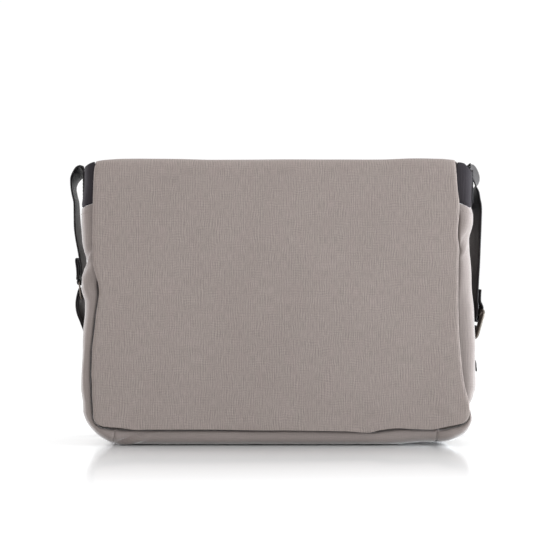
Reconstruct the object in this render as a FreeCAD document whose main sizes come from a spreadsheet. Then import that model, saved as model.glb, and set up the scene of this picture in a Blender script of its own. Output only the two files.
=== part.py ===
import FreeCAD, Part
import Sketcher
import math
import os

# Messenger bag in plain canvas.  Frame: origin on the floor under the middle
# of the bag, +X to the bag's right as it is looked at, +Y to the back, +Z up.
# All sizes are millimetres.

doc = FreeCAD.newDocument("messenger_bag")
V = FreeCAD.Vector

# ---------------------------------------------------------------- dimensions
SIZES = [
    # case of the bag
    ("half_width", 206.0, "middle of the bag to the outer face of a side gusset"),
    ("half_depth", 52.0, "middle of the bag to the outer face of a panel"),
    ("panel_top", 280.0, "height of the mouth"),
    ("panel_thick", 2.4, "interlined canvas of the panels"),
    ("gusset_thick", 2.5, "interlined canvas of the gussets"),
    ("edge_round", 15.0, "round of the gusset over onto the panel"),
    ("corner_round", 38.0, "round of the lower corners, seen from the front"),
    ("hem_height", 252.0, "top edge of the canvas side gussets"),
    ("web_top", 290.0, "top edge of the webbing gusset ends"),
    ("seam_gap", 0.3, "clearance between pieces that are sewn together"),
    ("lining_thick", 1.0, "lining"),
    ("lining_top", 274.0, "top edge of the lining"),
    ("board_half_long", 160.0, "base board, half length"),
    ("board_half_deep", 34.0, "base board, half depth"),
    ("board_thick", 2.0, "base board"),
    ("slip_half", 120.0, "inner slip pocket, half width"),
    ("slip_low", 60.0, "inner slip pocket, lower edge"),
    ("slip_high", 230.0, "inner slip pocket, upper edge"),
    ("slip_face", 46.0, "inner slip pocket, distance behind the middle"),
    ("slip_thick", 1.2, "inner slip pocket cloth"),
    ("hem_band", 18.0, "mouth hem of the front panel"),
    ("hem_thick", 1.2, "mouth hem of the front panel"),
    # zipped front pocket under the flap
    ("pocket_half", 160.0, "front pocket, half width"),
    ("pocket_low", 78.0, "front pocket, lower edge"),
    ("pocket_high", 200.0, "front pocket, upper edge"),
    ("pocket_thick", 1.2, "front pocket cloth"),
    ("pocket_round", 16.0, "front pocket lower corners"),
    ("zip_line", 212.0, "height of the zip"),
    ("zip_half", 152.0, "zip tape, half length"),
    ("zip_tape_wide", 10.0, "width of one zip tape"),
    ("teeth_half", 2.5, "half width of the closed teeth"),
    ("teeth_left", 148.0, "teeth, left end"),
    ("teeth_right", 136.0, "teeth, right end"),
    ("teeth_face", 53.4, "teeth, back face"),
    ("teeth_thick", 2.0, "thickness of the teeth"),
    ("tape_face", 54.0, "zip tape, back face"),
    ("tape_thick", 0.8, "zip tape"),
    ("car_mid", 140.0, "zip slider, distance from the middle"),
    ("car_half", 7.0, "zip slider, half length"),
    ("car_tall", 5.6, "zip slider, half height"),
    ("plate_thick", 0.8, "zip slider plates"),
    ("pin_round", 1.2, "zip pull pin, radius"),
    ("pull_long", 24.0, "zip pull, pin to tip"),
    ("pull_half", 3.4, "zip pull, half width"),
    ("pull_thick", 1.0, "zip pull"),
    # magnetic snaps
    ("snap_apart", 110.0, "snap, distance from the middle"),
    ("snap_height", 50.0, "height of the snaps"),
    ("snap_radius", 9.0, "snap radius"),
    ("socket_tall", 4.0, "snap socket height off the panel"),
    ("stud_tall", 2.7, "snap stud height off the flap lining"),
    # flap
    ("flap_half_top", 191.0, "flap half width at the fold"),
    ("flap_half_low", 196.5, "flap half width at the lower corners"),
    ("flap_low", 16.5, "lower edge of the flap"),
    ("flap_round", 22.0, "lower corners of the flap"),
    ("flap_face", 61.8, "outer face of the hanging flap"),
    ("shell_thick", 1.2, "flap canvas"),
    ("flap_lining_thick", 0.9, "flap lining"),
    ("flap_gap", 0.3, "clearance between flap canvas and lining"),
    ("fold_mid", 44.0, "front fold, centre, in front of the middle"),
    ("fold_height", 280.0, "front fold, centre height"),
    ("fold_round", 17.8, "front fold, outer radius"),
    ("back_mid", 44.0, "back fold, centre, behind the middle"),
    ("back_height", 283.0, "back fold, centre height"),
    ("back_round", 12.4, "back fold, outer radius"),
    ("back_low", 262.0, "lower edge of the flap's sewn strip on the back"),
    ("crown", 299.6, "highest line of the flap"),
    # shoulder strap
    ("web_wide", 38.0, "strap webbing width"),
    ("web_thick", 1.6, "strap webbing thickness"),
    ("anchor_low", 256.0, "lower end of the sewn strap anchor"),
    ("anchor_high", 292.0, "upper end of the sewn strap anchor"),
    ("lift_height", 285.0, "height that the strap swings about"),
    ("strap_slant", 5.0, "degrees that the upper fall of the strap leans back"),
    ("run_back", 92.0, "strap on the floor, distance behind the middle"),
    ("foot_half", 22.0, "half width of a slanting fall where it meets the floor run"),
    ("strap_plane", 213.4, "inner face of the strap, from the middle"),
    ("strap_inner", 208.3, "inner end of the strap's top fold"),
    ("strap_fold", 5.0, "outer radius of the strap's top fold"),
    ("turn_round", 14.0, "strap's turn onto the floor"),
    ("floor_gap", 0.3, "strap above the floor"),
    ("slider_top", 117.0, "adjuster's upper bar, down the strap"),
    ("slider_mid", 126.0, "adjuster's middle bar, down the strap"),
    ("slider_low", 135.0, "adjuster's lower bar, down the strap"),
    ("ring_top", 145.0, "ring's upper bar, down the strap"),
    ("ring_low", 171.0, "ring's lower bar, down the strap"),
    ("bar_half", 1.2, "half thickness of the metal bars"),
    ("slot_half", 20.6, "half width of the slots in the metal"),
    ("rail_wide", 2.6, "side rails of the metal"),
    ("eye_inner", 2.1, "webbing eye round a bar, inner radius"),
    ("eye_outer", 3.7, "webbing eye round a bar, outer radius"),
    ("sewn_long", 30.0, "sewn return of a webbing end"),
    ("tail_share", 0.8, "free tail of the long webbing, share of the slanting fall"),
    ("sewn_share", 0.3, "sewn return below the ring, share of the slanting fall"),
]

sheet = doc.addObject("Spreadsheet::Sheet", "Dims")
for row, (alias, value, note) in enumerate(SIZES, 1):
    sheet.set("A%d" % row, repr(float(value)))
    sheet.setAlias("A%d" % row, alias)
    sheet.set("B%d" % row, note)
doc.recompute()


class Size:
    """A number that remembers the expression it came from."""

    def __init__(self, value, text):
        self.value = float(value)
        self.text = text

    @staticmethod
    def of(other):
        if isinstance(other, Size):
            return other
        return Size(other, "(%r)" % float(other) if other < 0 else "%r" % float(other))

    def __add__(self, o):
        o = Size.of(o)
        return Size(self.value + o.value, "(%s + %s)" % (self.text, o.text))

    def __radd__(self, o):
        return Size.of(o) + self

    def __sub__(self, o):
        o = Size.of(o)
        return Size(self.value - o.value, "(%s - %s)" % (self.text, o.text))

    def __rsub__(self, o):
        return Size.of(o) - self

    def __mul__(self, o):
        o = Size.of(o)
        return Size(self.value * o.value, "(%s * %s)" % (self.text, o.text))

    def __rmul__(self, o):
        return Size.of(o) * self

    def __truediv__(self, o):
        o = Size.of(o)
        return Size(self.value / o.value, "(%s / %s)" % (self.text, o.text))

    def __neg__(self):
        return Size.of(-1.0) * self


def sin(a):
    return Size(math.sin(math.radians(a.value)), "sin(%s * 1 deg)" % a.text)


def cos(a):
    return Size(math.cos(math.radians(a.value)), "cos(%s * 1 deg)" % a.text)


class Sheet:
    pass


d = Sheet()
for alias, value, note in SIZES:
    setattr(d, alias, Size(value, "Dims.%s" % alias))

NODES = []


def new_body(label, place=None):
    body = doc.addObject("PartDesign::Body", label)
    body.Label = label
    NODES.append(body)
    if place is not None:
        # place: (y, z, degrees about X)
        y, z, turn = [Size.of(q) for q in place]
        body.Placement = FreeCAD.Placement(V(0, y.value, z.value),
                                           FreeCAD.Rotation(V(1, 0, 0), turn.value))
        body.setExpression("Placement.Base.y", y.text)
        body.setExpression("Placement.Base.z", z.text)
        body.setExpression("Placement.Rotation.Angle", turn.text)
    return body


def new_sketch(body, name, plane, lift=0.0, tilt=None):
    """A sketch on one of the body's own origin planes, moved along the
    plane's normal by lift.  tilt is (height, degrees): the plane is turned
    about the X direction through that height."""
    sk = body.newObject("Sketcher::SketchObject", body.Label + "_" + name)
    base = [o for o in body.Origin.OriginFeatures if o.Role == plane][0]
    sk.AttachmentSupport = [(base, "")]
    sk.MapMode = "FlatFace"
    lift = Size.of(lift)
    if tilt is None:
        sk.AttachmentOffset = FreeCAD.Placement(V(0, 0, lift.value), FreeCAD.Rotation())
        sk.setExpression("AttachmentOffset.Base.z", lift.text)
    else:
        height, turn = [Size.of(q) for q in tilt]
        sk.AttachmentOffset = FreeCAD.Placement(V(0, height.value, 0),
                                                FreeCAD.Rotation(V(1, 0, 0), turn.value))
        sk.setExpression("AttachmentOffset.Base.y", height.text)
        sk.setExpression("AttachmentOffset.Rotation.Angle", turn.text)
    return sk


def fix(sk, kind, geo, pos, size):
    n = sk.addConstraint(Sketcher.Constraint(kind, -1, 1, geo, pos, size.value))
    sk.setExpression("Constraints[%d]" % n, size.text)


def draw(sk, start, segs, closed=True):
    """Draws a wire.  segs: ("L", end) for a line, ("A", centre, end, ccw) for
    an arc.  Every corner and centre is tied to the sheet."""
    first = sk.GeometryCount
    here = (Size.of(start[0]), Size.of(start[1]))
    corners = [here]
    ends = []
    for n, seg in enumerate(segs):
        if seg[0] == "L":
            to = (Size.of(seg[1][0]), Size.of(seg[1][1]))
            sk.addGeometry(Part.LineSegment(V(here[0].value, here[1].value, 0),
                                            V(to[0].value, to[1].value, 0)))
            ends.append((1, 2))
        else:
            c = (Size.of(seg[1][0]), Size.of(seg[1][1]))
            to = (Size.of(seg[2][0]), Size.of(seg[2][1]))
            r = math.hypot(here[0].value - c[0].value, here[1].value - c[1].value)
            a = math.atan2(here[1].value - c[1].value, here[0].value - c[0].value)
            b = math.atan2(to[1].value - c[1].value, to[0].value - c[0].value)
            if not seg[3]:
                a, b = b, a
            while b <= a:
                b += 2 * math.pi
            sk.addGeometry(Part.ArcOfCircle(
                Part.Circle(V(c[0].value, c[1].value, 0), V(0, 0, 1), r), a, b))
            ends.append((1, 2) if seg[3] else (2, 1))
        here = to
        corners.append(here)
    count = len(segs)
    for n in range(count if closed else count - 1):
        m = (n + 1) % count
        sk.addConstraint(Sketcher.Constraint("Coincident", first + n, ends[n][1],
                                             first + m, ends[m][0]))
    for n, seg in enumerate(segs):
        if seg[0] == "A":
            fix(sk, "DistanceX", first + n, 3, Size.of(seg[1][0]))
            fix(sk, "DistanceY", first + n, 3, Size.of(seg[1][1]))
    spots = [(n, first + n, ends[n][0], corners[n]) for n in range(count)]
    if not closed:
        spots.append((count, first + count - 1, ends[-1][1], corners[count]))
    for n, geo, pos, at in spots:
        before = None
        if n > 0:
            before = segs[n - 1]
        elif closed:
            before = segs[-1]
        if before is not None and before[0] == "A":
            c = (Size.of(before[1][0]).value, Size.of(before[1][1]).value)
            if abs(at[1].value - c[1]) > abs(at[0].value - c[0]):
                fix(sk, "DistanceX", geo, pos, at[0])
            else:
                fix(sk, "DistanceY", geo, pos, at[1])
        else:
            fix(sk, "DistanceX", geo, pos, at[0])
            fix(sk, "DistanceY", geo, pos, at[1])
    return sk


def draw_circle(sk, centre, radius):
    c = (Size.of(centre[0]), Size.of(centre[1]))
    radius = Size.of(radius)
    n = sk.addGeometry(Part.Circle(V(c[0].value, c[1].value, 0), V(0, 0, 1), radius.value))
    fix(sk, "DistanceX", n, 3, c[0])
    fix(sk, "DistanceY", n, 3, c[1])
    k = sk.addConstraint(Sketcher.Constraint("Radius", n, radius.value))
    sk.setExpression("Constraints[%d]" % k, radius.text)


def box_wire(x0, x1, y0, y1):
    return (x0, y0), [("L", (x1, y0)), ("L", (x1, y1)), ("L", (x0, y1)), ("L", (x0, y0))]


def pad(body, sk, length, both=False):
    length = Size.of(length)
    p = body.newObject("PartDesign::Pad", sk.Name + "_Pad")
    p.Profile = sk
    p.Length = length.value
    p.setExpression("Length", length.text)
    if both:
        p.SideType = "Symmetric"
    body.Tip = p
    return p


def pocket(body, sk, length, both=False, backward=False):
    length = Size.of(length)
    before = body.Shape.Volume
    p = body.newObject("PartDesign::Pocket", sk.Name + "_Pocket")
    p.Profile = sk
    p.Length = length.value
    p.setExpression("Length", length.text)
    if both:
        p.SideType = "Symmetric"
    p.Reversed = backward
    body.Tip = p
    doc.recompute()
    if not body.Shape.Volume < before - 0.5:
        raise RuntimeError("pocket cuts nothing: " + sk.Name)
    return p


def edges_where(shape, test):
    return ["Edge%d" % (n + 1) for n, e in enumerate(shape.Edges) if test(e)]


def fillet(body, base, names, radius):
    radius = Size.of(radius)
    f = body.newObject("PartDesign::Fillet", body.Label + "_Round")
    f.Base = (base, names)
    f.Radius = radius.value
    f.setExpression("Radius", radius.text)
    body.Tip = f
    doc.recompute()
    return f


def u_wire(half_top, half_low, top, low, rnd):
    """Plate outline: straight top, rounded lower corners, seen from the front."""
    return (-half_top, top), [
        ("L", (-half_low, low + rnd)),
        ("A", (rnd - half_low, low + rnd), (rnd - half_low, low), True),
        ("L", (half_low - rnd, low)),
        ("A", (half_low - rnd, low + rnd), (half_low, low + rnd), True),
        ("L", (half_top, top)),
        ("L", (-half_top, top)),
    ]


def front_plate(label, y_far, thick, wire):
    """Plate in the XZ plane from y = -y_far back to y = -(y_far - thick)."""
    body = new_body(label)
    sk = new_sketch(body, "Outline", "XZ_Plane", y_far - thick)
    draw(sk, *wire)
    pad(body, sk, thick)
    return body


gap = d.seam_gap
flange = d.half_width - d.edge_round          # where gusset meets panel, in X
panel_low = d.edge_round + gap
panel_rnd = d.corner_round - d.edge_round - gap

# ------------------------------------------------------------ case: panels
panel = u_wire(flange - gap, flange - gap, d.panel_top, panel_low, panel_rnd)
front_plate("front_panel", d.half_depth, d.panel_thick, panel)
front_plate("back_panel", d.panel_thick - d.half_depth, d.panel_thick, panel)


# ----------------------------------------------------------- case: gussets
def channel_wire(across, outer, rnd, thick, side):
    """Section of a gusset: a web at distance outer with an edge rolled over
    at each end.  First coordinate points outward (times side)."""
    f = outer - rnd
    ccw = side > 0
    return (side * f, -across), [
        ("A", (side * f, rnd - across), (side * outer, rnd - across), ccw),
        ("L", (side * outer, across - rnd)),
        ("A", (side * f, across - rnd), (side * f, across), ccw),
        ("L", (side * f, across - thick)),
        ("A", (side * f, across - rnd), (side * (outer - thick), across - rnd), not ccw),
        ("L", (side * (outer - thick), rnd - across)),
        ("A", (side * f, rnd - across), (side * f, thick - across), not ccw),
        ("L", (side * f, -across)),
    ]


corner_mid = d.half_width - d.corner_round

for side, name in ((-1.0, "left"), (1.0, "right")):
    body = new_body("gusset_" + name)
    sk = new_sketch(body, "Section", "XY_Plane", d.hem_height)
    draw(sk, *channel_wire(d.half_depth, d.half_width, d.edge_round, d.gusset_thick, side))
    path = new_sketch(body, "Path", "XZ_Plane")
    draw(path, (side * d.half_width, d.hem_height), [
        ("L", (side * d.half_width, d.corner_round)),
        ("A", (side * corner_mid, d.corner_round), (side * corner_mid, 0.0), side < 0),
    ], closed=False)
    pipe = body.newObject("PartDesign::AdditivePipe", body.Label + "_Sweep")
    pipe.Profile = sk
    pipe.Spine = (path, ["Edge1", "Edge2"])
    body.Tip = pipe

for side, name in ((-1.0, "left"), (1.0, "right")):
    body = new_body("gusset_top_" + name)
    sk = new_sketch(body, "Section", "XY_Plane", d.hem_height + gap)
    draw(sk, *channel_wire(d.half_depth, d.half_width, d.edge_round, d.gusset_thick, side))
    pad(body, sk, d.web_top - d.hem_height - gap)

body = new_body("gusset_bottom")
sk = new_sketch(body, "Section", "YZ_Plane")
hd, er, gt = d.half_depth, d.edge_round, d.gusset_thick
draw(sk, (-hd, er), [
    ("A", (er - hd, er), (er - hd, 0.0), True),
    ("L", (hd - er, 0.0)),
    ("A", (hd - er, er), (hd, er), True),
    ("L", (hd - gt, er)),
    ("A", (hd - er, er), (hd - er, gt), False),
    ("L", (er - hd, gt)),
    ("A", (er - hd, er), (gt - hd, er), False),
    ("L", (-hd, er)),
])
pad(body, sk, 2 * (corner_mid - gap), both=True)

# ------------------------------------------------- lining, board, pockets
body = new_body("main_lining")
half_l = d.half_width - d.gusset_thick - gap
low_l = d.gusset_thick + gap
rnd_l = d.corner_round - d.gusset_thick - gap
deep_l = d.half_depth - d.gusset_thick - gap
sk = new_sketch(body, "Outline", "XZ_Plane")
draw(sk, *u_wire(half_l, half_l, d.lining_top, low_l, rnd_l))
block = pad(body, sk, 2 * deep_l, both=True)
doc.recompute()
dl, lt = deep_l.value, d.lining_top.value


def on_face_edge(e):
    return (all(abs(abs(v.Y) - dl) < 1e-4 for v in e.Vertexes)
            and not all(abs(v.Z - lt) < 1e-4 for v in e.Vertexes)
            and e.Vertexes[0].Y * e.Vertexes[-1].Y > 0)


rounded = fillet(body, block, edges_where(block.Shape, on_face_edge),
                 d.edge_round - d.gusset_thick - gap)
top = ["Face%d" % (n + 1) for n, f in enumerate(rounded.Shape.Faces)
       if abs(f.CenterOfMass.z - lt) < 1e-4]
hollow = body.newObject("PartDesign::Thickness", "main_lining_Hollow")
hollow.Base = (rounded, top)
hollow.Value = d.lining_thick.value
hollow.setExpression("Value", d.lining_thick.text)
hollow.Reversed = True
body.Tip = hollow

body = new_body("base_board")
sk = new_sketch(body, "Outline", "XY_Plane", low_l + d.lining_thick + gap)
draw(sk, *box_wire(-d.board_half_long, d.board_half_long,
                   -d.board_half_deep, d.board_half_deep))
board = pad(body, sk, d.board_thick)
doc.recompute()
fillet(body, board, edges_where(board.Shape, lambda e: abs(e.Vertexes[0].Z - e.Vertexes[-1].Z) > 1),
       12.0)

front_plate("inner_slip_pocket", -d.slip_face, d.slip_thick,
            u_wire(d.slip_half, d.slip_half, d.slip_high, d.slip_low, Size.of(14.0)))

front_plate("mouth_hem", d.half_depth + gap + d.hem_thick, d.hem_thick,
            box_wire(gap - flange, flange - gap, d.panel_top - d.hem_band, d.panel_top))

front_plate("front_pocket_panel", d.half_depth + gap + d.pocket_thick, d.pocket_thick,
            u_wire(d.pocket_half, d.pocket_half, d.pocket_high, d.pocket_low, d.pocket_round))

# --------------------------------------------------------------------- zip
tape_far = d.tape_face + d.tape_thick
tape_in = d.teeth_half + gap
front_plate("zip_tape_lower", tape_far, d.tape_thick,
            box_wire(-d.zip_half, d.zip_half, d.zip_line - tape_in - d.zip_tape_wide + 1.0,
                     d.zip_line - tape_in))
front_plate("zip_tape_upper", tape_far, d.tape_thick,
            box_wire(-d.zip_half, d.zip_half, d.zip_line + tape_in,
                     d.zip_line + tape_in + d.zip_tape_wide))
front_plate("zip_teeth", d.teeth_face + d.teeth_thick, d.teeth_thick,
            box_wire(-d.teeth_left, d.teeth_right, d.zip_line - d.teeth_half,
                     d.zip_line + d.teeth_half))
for side, name in ((-1.0, "left"), (1.0, "right")):
    x_in = d.teeth_left + gap
    a, b = side * x_in, side * (x_in + 3.0)
    if side < 0:
        a, b = b, a
    body = front_plate("zip_stop_" + name, d.teeth_face + d.teeth_thick, d.teeth_thick,
                       box_wire(a, b, d.zip_line - d.teeth_half, d.zip_line + d.teeth_half))
    doc.recompute()
    fillet(body, body.Tip, edges_where(body.Shape, lambda e: abs(e.Vertexes[0].Y - e.Vertexes[-1].Y) > 1),
           0.6)

# slider: back plate, front plate, a post between the two rows of teeth and a
# pin that carries the pull
x0, x1 = d.car_mid - d.car_half, d.car_mid + d.car_half
body = new_body("zip_slider")
back_in = d.teeth_face - gap
front_in = d.teeth_face + d.teeth_thick + gap
sk = new_sketch(body, "BackPlate", "XZ_Plane", back_in - d.plate_thick)
draw(sk, *box_wire(x0, x1, d.zip_line - d.car_tall, d.zip_line + d.car_tall))
pad(body, sk, d.plate_thick)
sk = new_sketch(body, "Post", "XZ_Plane", back_in - 0.2)
draw(sk, *box_wire(d.car_mid - 2.0, d.car_mid + 4.0, d.zip_line - 1.4, d.zip_line + 1.4))
pad(body, sk, front_in - back_in + 0.4)
sk = new_sketch(body, "FrontPlate", "XZ_Plane", front_in)
draw(sk, *box_wire(x0, x1, d.zip_line - d.car_tall, d.zip_line + d.car_tall))
pad(body, sk, d.plate_thick)
doc.recompute()
far_plate = -(back_in - d.plate_thick).value
fillet(body, body.Tip, edges_where(
    body.Shape, lambda e: abs(e.Vertexes[0].Y - e.Vertexes[-1].Y) > 0.5
    and abs(abs(e.Vertexes[0].Z - d.zip_line.value) - d.car_tall.value) < 1e-3), 2.2)
pin_in = front_in + d.plate_thick
sk = new_sketch(body, "Pin", "XZ_Plane", pin_in - 0.1)
draw_circle(sk, (d.car_mid, d.zip_line), d.pin_round)
pad(body, sk, d.pull_thick + 0.8)
sk = new_sketch(body, "PinHead", "XZ_Plane", pin_in + d.pull_thick + 0.5)
draw_circle(sk, (d.car_mid, d.zip_line), d.pin_round + 0.9)
pad(body, sk, 0.5)

body = new_body("zip_pull")
sk = new_sketch(body, "Tab", "XZ_Plane", pin_in + 0.3)
ph, cm, zl = d.pull_half, d.car_mid, d.zip_line
draw(sk, (cm - ph, zl - d.pull_long + ph), [
    ("A", (cm, zl - d.pull_long + ph), (cm + ph, zl - d.pull_long + ph), True),
    ("L", (cm + ph, zl)),
    ("A", (cm, zl), (cm - ph, zl), True),
    ("L", (cm - ph, zl - d.pull_long + ph)),
])
draw_circle(sk, (cm, zl), d.pin_round + 0.2)
draw_circle(sk, (cm, zl - d.pull_long + 6.0), 1.6)
pad(body, sk, d.pull_thick)

# ------------------------------------------------------------------- snaps
lining_far = d.flap_face - d.shell_thick - d.flap_gap
lining_near = lining_far - d.flap_lining_thick
for side, name in ((-1.0, "left"), (1.0, "right")):
    at = (side * d.snap_apart, d.snap_height)
    body = new_body("snap_socket_" + name)
    sk = new_sketch(body, "Case", "XZ_Plane", d.half_depth + 0.1)
    draw_circle(sk, at, d.snap_radius)
    pad(body, sk, d.socket_tall)
    doc.recompute()
    sk = new_sketch(body, "Seat", "XZ_Plane", d.half_depth + 0.1 + d.socket_tall - 1.2)
    draw_circle(sk, at, 3.2)
    pocket(body, sk, 1.2, backward=True)
for side, name in ((-1.0, "left"), (1.0, "right")):
    at = (side * d.snap_apart, d.snap_height)
    body = new_body("snap_stud_" + name)
    sk = new_sketch(body, "Case", "XZ_Plane", lining_near - 0.1 - d.stud_tall)
    draw_circle(sk, at, d.snap_radius)
    pad(body, sk, d.stud_tall)
    sk = new_sketch(body, "Nub", "XZ_Plane", lining_near - 0.1 - d.stud_tall - 0.8)
    draw_circle(sk, at, 2.6)
    pad(body, sk, 0.9)

# -------------------------------------------------------------------- flap
front_plate("flap_front_shell", d.flap_face, d.shell_thick,
            u_wire(d.flap_half_top, d.flap_half_low, d.fold_height - 1.2, d.flap_low, d.flap_round))
front_plate("flap_front_lining", lining_far, d.flap_lining_thick,
            u_wire(d.flap_half_top - 1.5, d.flap_half_low - 1.5, d.fold_height - 1.2,
                   d.flap_low + 1.5, d.flap_round - 1.5))


def top_band(label, drop_out, drop_in, half):
    """Roof of the flap between the two folds, as a band with a low crown."""
    body = new_body(label)
    sk = new_sketch(body, "Section", "YZ_Plane")
    yb, yf = d.back_mid - gap, gap + 4.0 - d.fold_mid
    zb = d.back_height + d.back_round
    zf = d.fold_height + d.fold_round
    draw(sk, (yf, zf - drop_out), [
        ("L", (yf, zf - drop_in)),
        ("L", (Size.of(2.0), d.crown - drop_in)),
        ("L", (yb, zb - drop_in)),
        ("L", (yb, zb - drop_out)),
        ("L", (Size.of(2.0), d.crown - drop_out)),
        ("L", (yf, zf - drop_out)),
    ])
    pad(body, sk, 2 * half, both=True)
    return body


top_band("flap_top_shell", Size.of(0.0), d.shell_thick, d.flap_half_top)
top_band("flap_top_lining", d.shell_thick + d.flap_gap,
         d.shell_thick + d.flap_gap + d.flap_lining_thick, d.flap_half_top - 1.5)

# the two places where the flap bends: over the front edge, and down the back
flap_thick = d.shell_thick + d.flap_gap + d.flap_lining_thick
body = new_body("flap_front_fold")
sk = new_sketch(body, "Section", "YZ_Plane")
ro, ri = d.fold_round, d.fold_round - flap_thick
fm, fh = d.fold_mid, d.fold_height
draw(sk, (4.0 - fm, fh + ro), [
    ("L", (-fm, fh + ro)),
    ("A", (-fm, fh), (-fm - ro, fh), True),
    ("L", (-fm - ro, fh - 0.9)),
    ("L", (-fm - ri, fh - 0.9)),
    ("L", (-fm - ri, fh)),
    ("A", (-fm, fh), (-fm, fh + ri), False),
    ("L", (4.0 - fm, fh + ri)),
    ("L", (4.0 - fm, fh + ro)),
])
pad(body, sk, 2 * d.flap_half_top, both=True)

body = new_body("flap_back_fold")
sk = new_sketch(body, "Section", "YZ_Plane")
ro, ri = d.back_round, d.back_round - flap_thick
bm, bh = d.back_mid, d.back_height
draw(sk, (bm, bh + ro), [
    ("L", (bm, bh + ri)),
    ("A", (bm, bh), (bm + ri, bh), False),
    ("L", (bm + ri, d.back_low)),
    ("L", (bm + ro, d.back_low)),
    ("L", (bm + ro, bh)),
    ("A", (bm, bh), (bm, bh + ro), True),
])
pad(body, sk, 2 * d.flap_half_top, both=True)

# ------------------------------------------------------------------- strap
wt, sl, lh = d.web_thick, d.strap_slant, d.lift_height
inner0 = d.strap_plane                        # main layer, inner face
outer0 = inner0 + wt
inner1 = outer0 + 0.4                         # second layer, inner face
outer1 = inner1 + wt
eye_at = outer0 + 0.2                         # centre of the webbing eyes
bite = 2.6                                    # a layer ends inside its eye

for side, name in ((-1.0, "left"), (1.0, "right")):
    # anchor: webbing sewn flat on the end of the gusset
    body = new_body("strap_anchor_" + name)
    sk = new_sketch(body, "Band", "XZ_Plane")
    a, b = side * (d.half_width + gap), side * (d.half_width + gap + wt)
    draw(sk, *box_wire(min(a, b, key=lambda q: q.value), max(a, b, key=lambda q: q.value),
                       d.anchor_low, d.anchor_high))
    pad(body, sk, d.web_wide, both=True)


def eye(body, name, side, down, tilt=None):
    """Webbing eye round a metal bar."""
    sk = new_sketch(body, name, "XZ_Plane", 0.0, tilt)
    draw_circle(sk, (side * eye_at, -down), d.eye_outer)
    draw_circle(sk, (side * eye_at, -down), d.eye_inner)
    pad(body, sk, d.web_wide, both=True)


# short straps: modelled about the line that the strap swings on, then leant
for side, name, bar in ((-1.0, "left", d.slider_top), (1.0, "right", d.ring_top)):
    body = new_body("strap_short_" + name, (Size.of(0.0), lh, sl))
    sk = new_sketch(body, "Fall", "XZ_Plane")
    rf = d.strap_fold
    cx = outer0 - rf
    cw = side > 0
    draw(sk, (side * d.strap_inner, rf + 3.0), [
        ("L", (side * cx, rf + 3.0)),
        ("A", (side * cx, Size.of(3.0)), (side * outer0, Size.of(3.0)), not cw),
        ("L", (side * outer0, bite - bar)),
        ("L", (side * inner0, bite - bar)),
        ("L", (side * inner0, Size.of(3.0))),
        ("A", (side * cx, Size.of(3.0)), (side * cx, rf - wt + 3.0), cw),
        ("L", (side * d.strap_inner, rf - wt + 3.0)),
        ("L", (side * d.strap_inner, rf + 3.0)),
    ])
    pad(body, sk, d.web_wide, both=True)
    eye(body, "Eye", side, bar)
    sk = new_sketch(body, "SewnEnd", "XZ_Plane")
    a, b = side * inner1, side * outer1
    draw(sk, *box_wire(min(a, b, key=lambda q: q.value), max(a, b, key=lambda q: q.value),
                       bite - bar, d.sewn_long - bar))
    pad(body, sk, d.web_wide, both=True)
    # row of stitching that joins the two layers
    sk = new_sketch(body, "Stitching", "XZ_Plane")
    a, b = side * (outer0 - 0.2), side * (inner1 + 0.2)
    draw(sk, *box_wire(min(a, b, key=lambda q: q.value), max(a, b, key=lambda q: q.value),
                       d.sewn_long - bar - 22.0, d.sewn_long - bar - 3.0))
    pad(body, sk, d.web_wide - 4.0, both=True)


def fall_wire(s_top, s_bend, foot=None, share=None):
    """A fall of webbing seen from the side, as a flat band.  It starts square
    across at s_top down the upper fall, keeps straight to s_bend and slants
    back from there.  With foot it runs to the floor run; with share it keeps
    its width and stops that share of the way down the slant."""
    hw = d.web_wide / 2.0
    s_, c_ = sin(sl), cos(sl)

    def across(s):
        y, z = s * s_, lh - s * c_
        return (y - hw * c_, z - hw * s_), (y + hw * c_, z + hw * s_)

    top0, top1 = across(s_top)
    bend0, bend1 = across(s_bend)
    foot0 = (d.run_back - d.foot_half, turn_z)
    foot1 = (d.run_back + d.foot_half, turn_z)
    if foot is None:
        dy = d.run_back - s_bend * s_
        dz = turn_z - (lh - s_bend * c_)
        foot0 = (bend0[0] + dy * share, bend0[1] + dz * share)
        foot1 = (bend1[0] + dy * share, bend1[1] + dz * share)
    return top0, [("L", bend0), ("L", foot0), ("L", foot1), ("L", bend1),
                  ("L", top1), ("L", top0)]


body = new_body("strap_long")
fg, tr = d.floor_gap, d.turn_round
turn_z = fg + tr
bend_left = d.slider_low + d.bar_half + 3.0
bend_right = d.ring_low + bite + 6.0
sk = new_sketch(body, "LeftFall", "YZ_Plane", -outer0)
draw(sk, *fall_wire(d.slider_mid + bite, bend_left, foot=True))
pad(body, sk, wt)
sk = new_sketch(body, "FloorRun", "XZ_Plane", -d.run_back)
draw(sk, (-outer0, turn_z), [
    ("A", (tr - outer0, turn_z), (tr - outer0, fg), True),
    ("L", (outer0 - tr, fg)),
    ("A", (outer0 - tr, turn_z), (outer0, turn_z), True),
    ("L", (inner0, turn_z)),
    ("A", (outer0 - tr, turn_z), (outer0 - tr, fg + wt), False),
    ("L", (tr - outer0, fg + wt)),
    ("A", (tr - outer0, turn_z), (-inner0, turn_z), False),
    ("L", (-outer0, turn_z)),
])
pad(body, sk, d.web_wide, both=True)
sk = new_sketch(body, "RightFall", "YZ_Plane", inner0)
draw(sk, *fall_wire(d.ring_low + bite, bend_right, foot=True))
pad(body, sk, wt)
eye(body, "AdjusterEye", -1.0, d.slider_mid, (lh, sl))
eye(body, "RingEye", 1.0, d.ring_low, (lh, sl))
# free tail beyond the adjuster, outside the fall
sk = new_sketch(body, "Tail", "YZ_Plane", -outer1)
draw(sk, *fall_wire(d.slider_mid + bite, bend_left, share=d.tail_share))
pad(body, sk, wt)
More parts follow.
